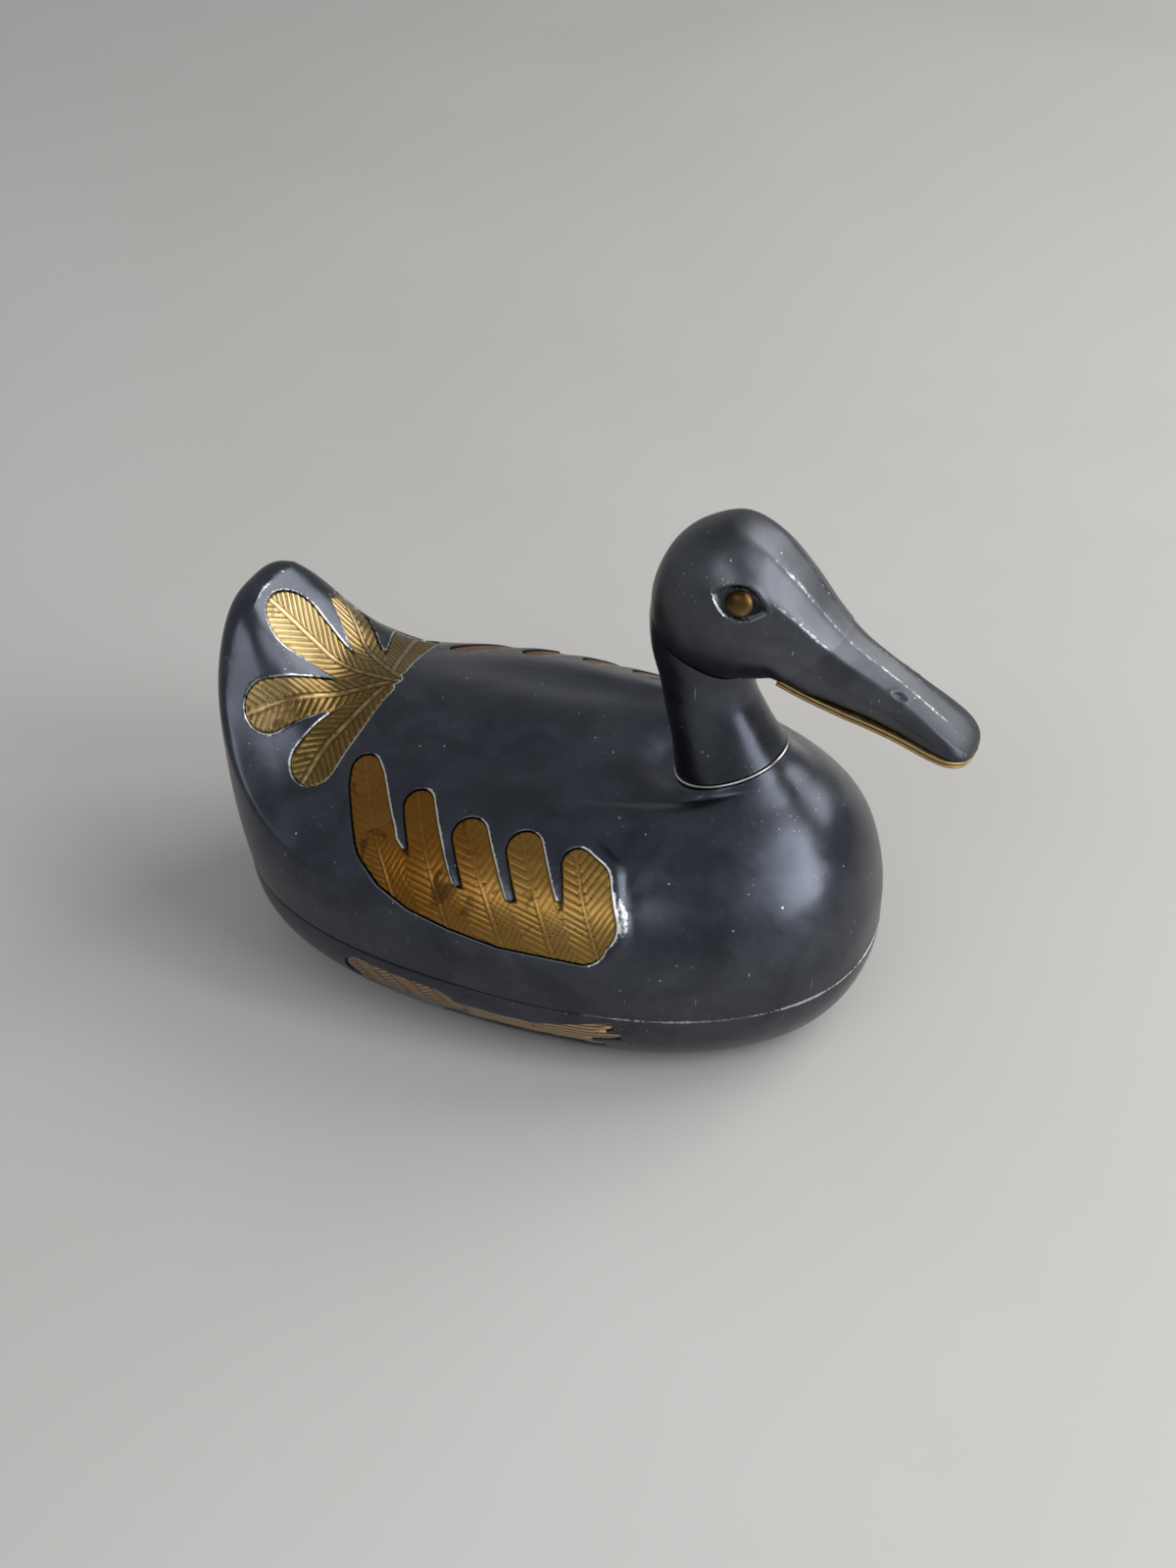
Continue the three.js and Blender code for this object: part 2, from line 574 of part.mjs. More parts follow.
function addNeck() {
  const [inner, outer, top] = [COLLAR_RADIUS - WALL, COLLAR_RADIUS + SEAM_RING_PROUD, SEAM_RING_HEIGHT];
  const corners = [[inner, 0], [outer, 0], [outer, top], [inner, top], [inner, 0]];
  const profile = corners.map(([x, y]) => new THREE.Vector2(x, y));
  const seam = new THREE.LatheGeometry(profile, NECK_AROUND);
  const ring = addPiece(lid, 'neck_seam_ring', seam, BRIGHT_PEWTER);
  ring.position.copy(ringFoot);
  ring.quaternion.setFromUnitVectors(new THREE.Vector3(0, 1, 0), neckDirection);

  const tube = wallBetween(neckSurface, neckBore, NECK_AROUND, NECK_ALONG);
  addSolid(lid, 'neck_tube', tube.subtract(headSolid(-GAP)), PEWTER);
}

function addHead() {
  const hollow = headSolid(0).subtract(headSolid(HEAD_WALL));
  const socket = pits(almond(SOCKET.halfLength, SOCKET.halfHeight), EYE_PLACE, SOCKET.depth);
  const shell = hollow.subtract(browSpace).subtract(mouthSpace).subtract(socket);
  addSolid(lid, 'head_shell', shell, PEWTER);

  const slit = almond(NOSTRIL.halfLength, NOSTRIL.halfWidth);
  const nostrils = pits(slit, NOSTRIL_PLACE, BILL_STEP + NOSTRIL.depth);
  const bill = headSolid(BILL_STEP).intersect(billSpace).subtract(belowMouth).subtract(nostrils);
  addSolid(lid, 'bill_top', bill, PEWTER);

  ['bill_plate', 'lower_bill'].forEach((name, i) => {
    const leaf = addPiece(lid, name, leafGeometry(), TARNISHED_BRASS);
    leaf.position.copy(mouthPoint).addScaledVector(mouthNormal, (i + 1) * (GAP + BILL_LEAF));
    leaf.rotation.y = MOUTH.pitch;
  });

  const eyeProfile = [new THREE.Vector2(0, 0), new THREE.Vector2(EYE_RADIUS, 0)];
  for (let i = 1; i <= ARC_FACETS; i += 1) {
    const angle = 0.5 * Math.PI * i / ARC_FACETS;
    eyeProfile.push(new THREE.Vector2(EYE_RADIUS * Math.cos(angle), EYE_HEIGHT * Math.sin(angle)));
  }
  const eyeNormal = normalOf(headSurface, ...EYE_PLACE);
  const eyeFoot = headSurface(...EYE_PLACE).addScaledVector(eyeNormal, GAP - SOCKET.depth);
  const addEye = (name, side) => {
    const mirror = new THREE.Vector3(1, side, 1);
    const eye = addPiece(lid, name, new THREE.LatheGeometry(eyeProfile, NECK_AROUND), TARNISHED_BRASS);
    eye.position.copy(eyeFoot).multiply(mirror);
    eye.quaternion.setFromUnitVectors(new THREE.Vector3(0, 1, 0), eyeNormal.clone().multiply(mirror));
  };
  addEye('eye_right', 1);
  addEye('eye_left', -1);
}

addBase();
addBody();
addNeck();
addHead();

export default box;
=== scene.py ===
# %% [markdown]
# A duck trinket box in patinated pewter and stamped brass.
# The bowl and the lid are raised from pewter sheet. Feather shapes are pierced through the sheet with a
# saw, and a stamped brass plate is soldered behind each opening, so that the brass shows through.
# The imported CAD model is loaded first. It stays fixed, and every piece below is made in its frame, in
# metres, with the table at z = 0 and the duck looking along +X.

# %% Load the frame
import math

import bmesh
import bpy
import numpy as np
from mathutils import Matrix, Vector


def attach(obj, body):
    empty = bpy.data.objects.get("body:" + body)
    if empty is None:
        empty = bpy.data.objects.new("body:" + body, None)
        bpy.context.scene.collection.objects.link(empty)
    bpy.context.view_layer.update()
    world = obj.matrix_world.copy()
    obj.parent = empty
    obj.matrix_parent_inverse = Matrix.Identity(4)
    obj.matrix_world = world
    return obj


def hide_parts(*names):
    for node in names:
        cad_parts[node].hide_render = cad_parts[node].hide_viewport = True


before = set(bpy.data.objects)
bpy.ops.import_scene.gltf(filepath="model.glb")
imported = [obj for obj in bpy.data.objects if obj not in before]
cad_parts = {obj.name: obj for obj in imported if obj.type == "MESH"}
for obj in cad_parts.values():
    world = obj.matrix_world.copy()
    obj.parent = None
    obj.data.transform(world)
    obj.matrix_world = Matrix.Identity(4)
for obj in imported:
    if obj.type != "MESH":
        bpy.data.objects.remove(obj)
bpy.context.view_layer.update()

MM = 0.001

# %% [markdown]
# The photograph looks down on the duck's right side from about elbow height. A camera can be aimed by
# rotation angles, but here its three axes are written from one turn and one rise, because the same two
# angles were used to measure the photograph.

# %% Camera
VIEW_TURN, VIEW_RISE = math.radians(23.3), math.radians(37.5)
BASE_DEPTH = 24.5
# Millimetres from the middle of the seam: to the right, upwards and towards the camera
CAMERA_PLACE = (10.0, 20.6, 664)
toward_camera = Vector((math.sin(VIEW_TURN) * math.cos(VIEW_RISE),
                        -math.cos(VIEW_TURN) * math.cos(VIEW_RISE), math.sin(VIEW_RISE)))
camera_right = Vector((math.cos(VIEW_TURN), math.sin(VIEW_TURN), 0))
camera_up = toward_camera.cross(camera_right)

camera_data = bpy.data.cameras.new("camera")
camera_data.sensor_fit = "VERTICAL"
camera_data.sensor_height = 36
camera_data.lens = 54
camera_data.clip_start = 0.01
camera = bpy.data.objects.new("camera", camera_data)
axes = Matrix((camera_right, camera_up, toward_camera)).transposed()
camera_place = (axes @ Vector(CAMERA_PLACE) + Vector((0, 0, BASE_DEPTH))) * MM
camera.matrix_world = Matrix.Translation(camera_place) @ axes.to_4x4()
bpy.context.scene.collection.objects.link(camera)
bpy.context.scene.camera = camera
print("camera", [round(v, 4) for v in camera.location])

# %% [markdown]
# Dark polished metal shows little colour of its own. What it shows is the room, so the lamps are part of
# its finish. One large lamp stands for a window behind and to the right, which whitens the forehead and
# the tail. A tall one on the right draws the pale band down the breast, a narrow one the streak in that
# band, and a weak one fills the near side.

# %% Lamps and surroundings
scene = bpy.context.scene
scene.view_settings.view_transform = "Standard"
AIM = Vector((0.01, 0, 0.06))


def add_lamp(name, direction, distance, size, power, colour):
    lamp = bpy.data.lights.new(name, "AREA")
    lamp.shape = "RECTANGLE"
    lamp.size, lamp.size_y = size
    lamp.energy = power
    lamp.color = colour
    holder = bpy.data.objects.new(name, lamp)
    way = Vector(direction).normalized()
    holder.location = AIM + way * distance
    holder.rotation_euler = way.to_track_quat("Z", "Y").to_euler()
    scene.collection.objects.link(holder)
    print("lamp", name, power, "W")


add_lamp("window_lamp", (0.55, 0.6, 0.62), 1.3, (0.9, 0.8), 10.5, (1.0, 0.98, 0.95))
add_lamp("breast_lamp", (0.87, -0.17, 0.46), 0.9, (0.42, 0.84), 4.2, (0.93, 0.96, 1.0))
add_lamp("streak_lamp", (0.9, -0.03, 0.43), 0.85, (0.09, 0.7), 1.6, (1.0, 0.95, 0.9))
add_lamp("near_lamp", (-0.1, -0.9, 0.75), 1.4, (0.9, 0.6), 4, (0.95, 0.97, 1.0))

world = bpy.data.worlds.new("room")
world.use_nodes = True
room_light = world.node_tree.nodes["Background"].inputs
room_light["Color"].default_value = (0.95, 0.97, 1.0, 1)
room_light["Strength"].default_value = 0.4
scene.world = world

# %% [markdown]
# Materials are built from nodes. A short helper adds a node and either sets each input or links it, which
# keeps the recipes readable. Effects that both metals share are node groups: clouds of tone, fine
# scratches and specks. They are placed in each material with their own values.

# %% Helpers for nodes
def add(tree, kind, values=None, **settings):
    """A new node with its settings, and each of its inputs set or linked."""
    made = tree.nodes.new(kind)
    for name, value in settings.items():
        setattr(made, name, value)
    for name, value in (values or {}).items():
        socket = made.inputs[name]
        if isinstance(value, bpy.types.NodeSocket):
            tree.links.new(value, socket)
        else:
            socket.default_value = value
    return made


def calc(tree, operation, *values):
    return add(tree, "ShaderNodeMath", dict(enumerate(values)), operation=operation).outputs[0]


def times(tree, first, second):
    return calc(tree, "MULTIPLY", first, second)


def plus(tree, first, second):
    return calc(tree, "ADD", first, second)


def less(tree, first, second):
    return calc(tree, "SUBTRACT", first, second)


def larger(tree, first, second):
    return calc(tree, "MAXIMUM", first, second)


def ramp(tree, value, low, high, to_low=0.0, to_high=1.0):
    values = {"Value": value, "From Min": low, "From Max": high, "To Min": to_low, "To Max": to_high}
    return add(tree, "ShaderNodeMapRange", values).outputs[0]


def blend(tree, share, first, second):
    """Two colours mixed by a share; sockets 6 and 7 are the colour inputs of the Mix node."""
    values = {0: share, 6: first, 7: second}
    return add(tree, "ShaderNodeMix", values, data_type="RGBA").outputs[2]


def new_group(name, inputs, outputs):
    group = bpy.data.node_groups.new(name, "ShaderNodeTree")
    for label, kind, default in inputs:
        socket = group.interface.new_socket(label, in_out="INPUT", socket_type=kind)
        if default is not None:
            socket.default_value = default
    for label in outputs:
        group.interface.new_socket(label, in_out="OUTPUT", socket_type="NodeSocketFloat")
    start, end = group.nodes.new("NodeGroupInput"), group.nodes.new("NodeGroupOutput")
    return group, start, end


def place_group(tree, group, values):
    return add(tree, "ShaderNodeGroup", values, node_tree=group)


FLOAT, VECTOR = "NodeSocketFloat", "NodeSocketVector"
print("node helpers ready")

# %% [markdown]
# The first effect is clouds of tone. Metal that was rubbed by hand is never one even shade, because the
# cloth pressed harder in some places. A broad noise makes the clouds and a fine one the grain. The fine one
# takes its scale from the broad one, so that a single number sets both.

# %% Group: clouds of tone
FINE_GRAIN = 14.0
clouds, start, end = new_group("tone_clouds", [("Vector", VECTOR, None), ("Scale", FLOAT, 30.0)],
                               ["Cloud", "Grain"])
where, scale = start.outputs["Vector"], start.outputs["Scale"]
broad = add(clouds, "ShaderNodeTexNoise", {"Vector": where, "Scale": scale, "Detail": 4.0,
                                           "Roughness": 0.55, "Distortion": 0.6})
fine = add(clouds, "ShaderNodeTexNoise", {"Vector": where, "Scale": times(clouds, scale, FINE_GRAIN),
                                          "Detail": 3.0, "Roughness": 0.6})
clouds.links.new(ramp(clouds, broad.outputs[0], 0.3, 0.7), end.inputs["Cloud"])
clouds.links.new(ramp(clouds, fine.outputs[0], 0.3, 0.7), end.inputs["Grain"])
print("group", clouds.name)

# %% [markdown]
# Scratches are long thin cells. A Voronoi texture whose space is squeezed along one axis gives stretched
# cells, and the middle of each cell, kept only for some of them, is a short straight scratch. Layers
# turned to different angles look like years of handling.

# %% Group: fine scratches
SCRATCH_CELLS = 760.0
# How each layer is turned about the three axes, and how far its cells are stretched
SCRATCH_LAYERS = [((0.5, 0.3, 0.2), 20), ((1.9, 0.8, 1.1), 14), ((0.2, 2.1, 2.5), 26), ((2.4, 1.2, 0.3), 17)]
scratches, start, end = new_group("fine_scratches", [("Vector", VECTOR, None), ("Width", FLOAT, 0.08)],
                                  ["Scratch"])
layers = []
for angles, squeeze in SCRATCH_LAYERS:
    stretch = (SCRATCH_CELLS, SCRATCH_CELLS, SCRATCH_CELLS / squeeze)
    turned = add(scratches, "ShaderNodeMapping", {"Vector": start.outputs["Vector"], "Rotation": angles,
                                                  "Scale": stretch})
    cells = add(scratches, "ShaderNodeTexVoronoi", {"Vector": turned.outputs[0], "Scale": 1.0})
    reach = calc(scratches, "DIVIDE", cells.outputs["Distance"], start.outputs["Width"])
    chance = add(scratches, "ShaderNodeSeparateColor", {0: cells.outputs["Color"]}).outputs[0]
    stroke, kept = ramp(scratches, reach, 1.0, 0.4), ramp(scratches, chance, 0.72, 0.97)
    layers.append(times(scratches, stroke, kept))
for layer in layers[1:]:
    layers[0] = larger(scratches, layers[0], layer)
scratches.links.new(layers[0], end.inputs["Scratch"])
print("group", scratches.name, len(layers), "layers")

# %% [markdown]
# Specks are tiny dents and spots. A Voronoi texture scatters cells, and each cell has a random colour. The
# first channel of that colour chooses which cells show a dot, and the second says how large the dot is.

# %% Group: specks
LARGEST_SPECK = 0.22
specks, start, end = new_group(
    "specks", [("Vector", VECTOR, None), ("Scale", FLOAT, 420.0), ("Amount", FLOAT, 0.2)], ["Speck"])
cells = add(specks, "ShaderNodeTexVoronoi",
            {"Vector": start.outputs["Vector"], "Scale": start.outputs["Scale"]})
chance = add(specks, "ShaderNodeSeparateColor", {0: cells.outputs["Color"]})
chosen = calc(specks, "LESS_THAN", chance.outputs[0], start.outputs["Amount"])
reach = times(specks, chance.outputs[1], LARGEST_SPECK)
dot = calc(specks, "LESS_THAN", cells.outputs["Distance"], reach)
specks.links.new(times(specks, chosen, dot), end.inputs["Speck"])
print("group", specks.name)

# %% [markdown]
# The pewter was darkened with a chemical patina and rubbed back. It is a metal with a dark blue-black
# reflection, greyer where hands have rubbed it, and nearly white where an edge has worn through. The
# pieces carry an attribute called edge, which is 1 on a lip or a ridge, so that the wear and some painted
# highlights sit there. It falls below 0 where soot and wax have stayed in a hollow, and where shade is
# painted: in the seam's gap at the rear, in the eye socket and on lips that face forwards.

# %% Patinated pewter
def new_material(name):
    material = bpy.data.materials.new(name)
    material.use_nodes = True
    tree = material.node_tree
    shader = tree.nodes["Principled BSDF"]
    where = add(tree, "ShaderNodeTexCoord").outputs["Object"]
    return material, tree, shader, where


def attribute(tree, name):
    return add(tree, "ShaderNodeAttribute", attribute_name=name).outputs["Fac"]


def finish_metal(tree, shader, colour, rough, height, strength, depth):
    """Joins a metal's colour, roughness and fine height to its shader."""
    tree.links.new(colour, shader.inputs["Base Color"])
    tree.links.new(rough, shader.inputs["Roughness"])
    shader.inputs["Metallic"].default_value = 1.0
    bump = add(tree, "ShaderNodeBump", {"Height": height, "Strength": strength, "Distance": depth})
    tree.links.new(bump.outputs[0], shader.inputs["Normal"])


SOOT_AND_SHADE = (0.014, 0.015, 0.02, 1)


def patinated_pewter(name, deep, rubbed, worn, rough, wear):
    """Dark pewter rubbed in clouds, worn bare and painted with highlights where edge is high, and given soot
    and painted shade below 0.
    """
    material, tree, shader, where = new_material(name)
    tone = place_group(tree, clouds, {"Vector": where, "Scale": 22.0})
    smear = place_group(tree, clouds, {"Vector": where, "Scale": 75.0})
    scratch = place_group(tree, scratches, {"Vector": where, "Width": 0.13}).outputs["Scratch"]
    speck = place_group(tree, specks, {"Vector": where, "Scale": 620.0, "Amount": 0.05}).outputs["Speck"]
    edge = attribute(tree, "edge")
    patchy = plus(tree, times(tree, smear.outputs["Grain"], 0.5),
                  times(tree, smear.outputs["Cloud"], 0.6))
    # Wear where edge is high, which also carries the painted highlights on lips, beside openings, on the
    # swell and on the eyelid
    wear_and_highlight_share = times(tree, ramp(tree, plus(tree, edge, patchy), 1.35, 1.8), wear)
    scuffed = ramp(tree, smear.outputs["Cloud"], 0.5, 0.95)
    scratch = times(tree, scratch, plus(tree, 0.1, scuffed))
    marks = larger(tree, times(tree, scratch, 0.7), times(tree, speck, 0.5))
    colour = blend(tree, tone.outputs["Cloud"], deep, rubbed)
    grime_and_shade = times(tree, ramp(tree, smear.outputs["Cloud"], 0.75, 0.2), 0.3)
    # Below 0, edge darkens towards soot: soot in hollows, and painted shade in the seam's gap, the socket and
    # forward-facing lips
    grime_and_shade = larger(tree, grime_and_shade, ramp(tree, edge, 0.0, -1.0, 0.0, 0.9))
    colour = blend(tree, grime_and_shade, colour, SOOT_AND_SHADE)
    colour = blend(tree, larger(tree, marks, wear_and_highlight_share), colour, worn)
    haze = ramp(tree, smear.outputs["Cloud"], 0, 1, rough - 0.04, rough + 0.07)
    haze = plus(tree, haze, times(tree, marks, 0.12))
    height = plus(tree, times(tree, tone.outputs["Cloud"], 0.3),
                  times(tree, smear.outputs["Grain"], 0.03))
    height = less(tree, height, times(tree, scratch, 0.12))
    height = less(tree, height, times(tree, speck, 0.10))
    finish_metal(tree, shader, colour, haze, height, 0.35, 0.3 * MM)
    print("material", name)
    return material


PEWTER = patinated_pewter("patinated_pewter", (0.052, 0.058, 0.073, 1), (0.084, 0.091, 0.108, 1),
                          (0.72, 0.72, 0.72, 1), 0.29, 0.9)
HEAD_PEWTER = patinated_pewter("rubbed_pewter", (0.068, 0.074, 0.087, 1), (0.125, 0.131, 0.144, 1),
                               (0.66, 0.65, 0.63, 1), 0.37, 0.8)
# A darker copy of the head's pewter for the bill: painted shade that lowers the lamp's highlight on its top
BILL_PEWTER = patinated_pewter("bill_pewter_painted_shade", (0.058, 0.063, 0.074, 1), (0.106, 0.112, 0.123, 1),
                               (0.62, 0.62, 0.61, 1), 0.42, 0.8)
LINING_PEWTER = patinated_pewter("dull_inner_pewter", (0.10, 0.10, 0.105, 1), (0.19, 0.19, 0.19, 1),
                                 (0.5, 0.5, 0.5, 1), 0.42, 0.4)
SOLDER = patinated_pewter("bright_solder", (0.42, 0.43, 0.44, 1), (0.68, 0.68, 0.68, 1),
                          (0.8, 0.8, 0.8, 1), 0.28, 0.5)

# %% [markdown]
# The brass was stamped thin, so its feathers stand up in ribs. Fingers polish the ribs and leave dark
# tarnish in the grooves, with brown spots where it has been damp. The plates carry an attribute called
# rib, from 0 in a groove to 1 on a rib; on the eye studs it is instead a gradient that paints shade on the
# upper rear of each dome and a highlight on its lower front. The attribute edge darkens the brass beside
# the opening. The colour also drifts from one end of a plate to the other, so each finish names the two
# places between which it does.

# %% Tarnished brass
GROOVE_TARNISH_AND_SHADE, DAMP_STAIN = (0.035, 0.017, 0.005, 1), (0.04, 0.02, 0.008, 1)


def tarnished_brass(name, shade, gold, bright, spots, drift, axis="X"):
    """Brass that drifts from shade to gold along one axis, dark in its grooves and bright on its ribs."""
    material, tree, shader, where = new_material(name)
    tone = place_group(tree, clouds, {"Vector": where, "Scale": 38.0})
    spot_tone = place_group(tree, clouds, {"Vector": where, "Scale": 120.0})
    scratch = place_group(tree, scratches, {"Vector": where, "Width": 0.1}).outputs["Scratch"]
    speck = place_group(tree, specks, {"Vector": where, "Scale": 520.0, "Amount": 0.16}).outputs["Speck"]
    rib_and_painted_light, edge = attribute(tree, "rib_and_painted_light"), attribute(tree, "edge")
    along = add(tree, "ShaderNodeSeparateXYZ", {0: where}).outputs[axis]
    share = times(tree, ramp(tree, along, *drift), 0.65)
    share = plus(tree, share, times(tree, tone.outputs["Cloud"], 0.35))
    colour = blend(tree, share, shade, gold)
    # Tarnish in the grooves of the plates; on an eye stud this is painted shade on the upper rear of the dome
    groove_and_shade = times(tree, ramp(tree, rib_and_painted_light, 0.5, 0.0), 0.85)
    colour = blend(tree, groove_and_shade, colour, GROOVE_TARNISH_AND_SHADE)
    # Polish on the ribs; on an eye stud this is a painted highlight on the lower front of the dome
    polish_and_highlight = times(tree, ramp(tree, rib_and_painted_light, 0.72, 1.0), ramp(tree, tone.outputs["Grain"], 0.1, 0.9))
    colour = blend(tree, times(tree, polish_and_highlight, 0.4), colour, bright)
    damp = times(tree, ramp(tree, spot_tone.outputs["Cloud"], 0.78, 0.98), spots)
    dirt = larger(tree, damp, times(tree, speck, spots))
    # Darker beside the opening, where the edge attribute is high
    dirt = larger(tree, dirt, times(tree, ramp(tree, edge, 0.4, 1.0), 0.55))
    colour = blend(tree, dirt, colour, DAMP_STAIN)
    colour = blend(tree, times(tree, scratch, 0.3), colour, bright)
    rough = ramp(tree, tone.outputs["Grain"], 0, 1, 0.28, 0.4)
    rough = plus(tree, rough, times(tree, dirt, 0.3))
    height = less(tree, times(tree, tone.outputs["Grain"], 0.25),
                  times(tree, scratch, 0.2))
    finish_metal(tree, shader, colour, rough, height, 0.4, 0.2 * MM)
    print("material", name)
    return material


# Rear fingers darker and more orange: amber tarnish, and painted shade for the dark room the upper fingers
# mirror
WING_BRASS = tarnished_brass("amber_brass", (0.185, 0.064, 0.005, 1), (0.33, 0.215, 0.065, 1),
                             (0.62, 0.48, 0.22, 1), 0.7, (-0.025, 0.05))
# Pale gold at the top of the fan, darker brown towards its bottom
TAIL_BRASS = tarnished_brass("golden_brass", (0.44, 0.34, 0.17, 1), (0.15, 0.092, 0.026, 1),
                             (0.72, 0.62, 0.40, 1), 0.5, (0.090, 0.074), "Z")
LEG_BRASS = tarnished_brass("dull_brass", (0.34, 0.215, 0.135, 1), (0.45, 0.33, 0.21, 1),
                            (0.75, 0.62, 0.45, 1), 0.6, (-0.04, 0.04))
EYE_BRASS = tarnished_brass("eye_brass", (0.10, 0.06, 0.016, 1), (0.15, 0.098, 0.038, 1),
                            (0.45, 0.37, 0.22, 1), 0.5, (0.04, 0.07))
BILL_BRASS = tarnished_brass("bill_brass", (0.30, 0.20, 0.075, 1), (0.36, 0.25, 0.10, 1),
                             (0.70, 0.58, 0.34, 1), 0.3, (0.06, 0.12))

# %% [markdown]
# The floor is a plain pale sheet. It matters here, because the lower half of the duck mirrors it.

# %% Floor
floor_material, tree, shader, where = new_material("pale_floor")
tone = place_group(tree, clouds, {"Vector": where, "Scale": 3.0})
floor_colour = blend(tree, tone.outputs["Cloud"], (0.455, 0.445, 0.425, 1), (0.50, 0.49, 0.475, 1))
tree.links.new(floor_colour, shader.inputs["Base Color"])
shader.inputs["Roughness"].default_value = 0.75
bm = bmesh.new()
bmesh.ops.create_grid(bm, x_segments=8, y_segments=8, size=4)
mesh = bpy.data.meshes.new("pale_floor")
bm.to_mesh(mesh)
bm.free()
mesh.materials.append(floor_material)
floor = bpy.data.objects.new("pale_floor", mesh)
scene.collection.objects.link(floor)
print("floor made")

# %% [markdown]
# The body is not a simple solid: it swells at the breast, dips along the back and turns up in the tail.
# It is drawn as rings from the seam to the neck. Three guide curves, along the breast, the back and the
# flank, carry the rings, and a small table says how square each ring is. The values are those of the CAD
# model, so the visible skin lies on the CAD surface. numpy works on all points at once.

# %% Guide curves
def mix(first, second, share):
    return first + (second - first) * share


def smooth_step(value, low, high):
    share = np.clip((value - low) / (high - low), 0, 1)
    return share * share * (3 - 2 * share)


def guide(points):
    """A smooth curve through points; the result gives its point at a share from 0 to 1."""
    knots = np.array(points, float)
    knots = np.vstack([2 * knots[0] - knots[1], knots, 2 * knots[-1] - knots[-2]])

    def at(share):
        along = np.clip(share, 0, 1) * (len(knots) - 3)
        i = np.minimum(along.astype(int), len(knots) - 4)
        t = (along - i)[..., None]
        a, b, c, d = knots[i], knots[i + 1], knots[i + 2], knots[i + 3]
        return b + 0.5 * t * (c - a + t * (2 * a - 5 * b + 4 * c - d + t * (3 * (b - c) + d - a)))
    return at


WALL, SEAT, BRASS, LAP, GAP = 1.0, 0.4, 0.8, 1.4, 0.3
SEAM_FRONT, SEAM_REAR, HALF_WIDTH = 94, 87, 59
BASE_TURN_IN, BACK_HEIGHT, TAIL_RISE = 24, 49, 22.1
COLLAR, COLLAR_RADIUS, COLLAR_TILT = np.array([52, 0, 50.5]), 15.5, math.radians(20)
LID_FOOT = BASE_DEPTH + GAP
collar_run, collar_climb = COLLAR_RADIUS * math.cos(COLLAR_TILT), COLLAR_RADIUS * math.sin(COLLAR_TILT)
collar_front = (COLLAR[0] + collar_run, COLLAR[2] + collar_climb)
collar_rear = (COLLAR[0] - collar_run, COLLAR[2] - collar_climb)

tail_top = BACK_HEIGHT + TAIL_RISE
back_x = [mix(-50, collar_rear[0], k) for k in (0.27, 0.57, 0.84, 0.955)]
back_line = guide([
    (-SEAM_REAR, 0, 0), (-90.4, 0, 0.31 * tail_top), (-92.8, 0, 0.62 * tail_top),
    (-93.6, 0, 0.83 * tail_top), (-91.4, 0, tail_top - 2.3), (-86.4, 0, tail_top), (-79, 0, tail_top - 5.3),
    (-70, 0, BACK_HEIGHT + 0.37 * TAIL_RISE), (-62, 0, BACK_HEIGHT + 1.5), (-50, 0, BACK_HEIGHT - 0.5),
    (back_x[0], 0, BACK_HEIGHT), (back_x[1], 0, BACK_HEIGHT + 0.5), (back_x[2], 0, BACK_HEIGHT - 2),
    (back_x[3], 0, collar_rear[1] - 0.5), (collar_rear[0], 0, collar_rear[1])])
breast_shares = [(0, 0), (0.02, 0.25), (0.15, 0.53), (0.42, 0.74), (0.73, 0.875), (0.91, 0.95), (1, 1)]
breast_line = guide([(mix(SEAM_FRONT, collar_front[0], k), 0, z * collar_front[1])
                     for k, z in breast_shares])
flank_shares = [(2, 1, 0), (0, 1.043, 0.24), (-3, 1.01, 0.415), (-4, 0.895, 0.59), (-4, 0.72, 0.715),
                (-1, 0.54, 0.8), (10, 0.335, 0.88), (mix(10, COLLAR[0], 0.55), 0.17, 0.905),
                (mix(10, COLLAR[0], 0.9), 0.055, 0.935), (COLLAR[0], 0, 1)]
flank_line = guide([(x, mix(COLLAR_RADIUS, HALF_WIDTH, k), z * COLLAR[2]) for x, k, z in flank_shares])
print("guides meet the collar at", collar_front, collar_rear)

# %% [markdown]
# Two numbers name any place on the skin. Turn runs once round the duck from the breast, and rise runs from
# the seam up to the collar. A ring could be a plain ellipse, but the real body has squarer flanks and a flat
# scoop in front of the tail, so how square a ring is changes with its rise. The bowl is simpler: it is the
# outline of the seam, drawn in and down along a quarter ellipse.

# %% Surfaces of the lid and the bowl
# Rise, then how square a ring is, how fast it falls to the flank, its taper at the end, its flat top
REAR_FORM = np.array([(0, 2.5, 1.35, 0, 2), (0.2, 2.5, 1.8, 0.08, 2.6), (0.37, 2.6, 4.2, 0.3, 4),
                      (0.6, 2.1, 3, 0.15, 2.3), (1, 2, 0.5, 0, 2)])
FRONT_FORM = np.array([(0, 2.2, 1, 0, 2), (1, 2, 0.5, 0, 2)])


def form_at(rows, rise):
    i = np.clip(np.searchsorted(rows[:, 0], rise), 1, len(rows) - 1)
    low, high = rows[i - 1], rows[i]
    share = smooth_step(rise, low[..., 0], high[..., 0])
    return mix(low, high, share[..., None])[..., 1:]


def paired(turn, rise):
    """Turn and rise as arrays of one shape."""
    return np.broadcast_arrays(np.asarray(turn, float), np.asarray(rise, float))


def unit(vector):
    return vector / np.linalg.norm(vector, axis=-1, keepdims=True)


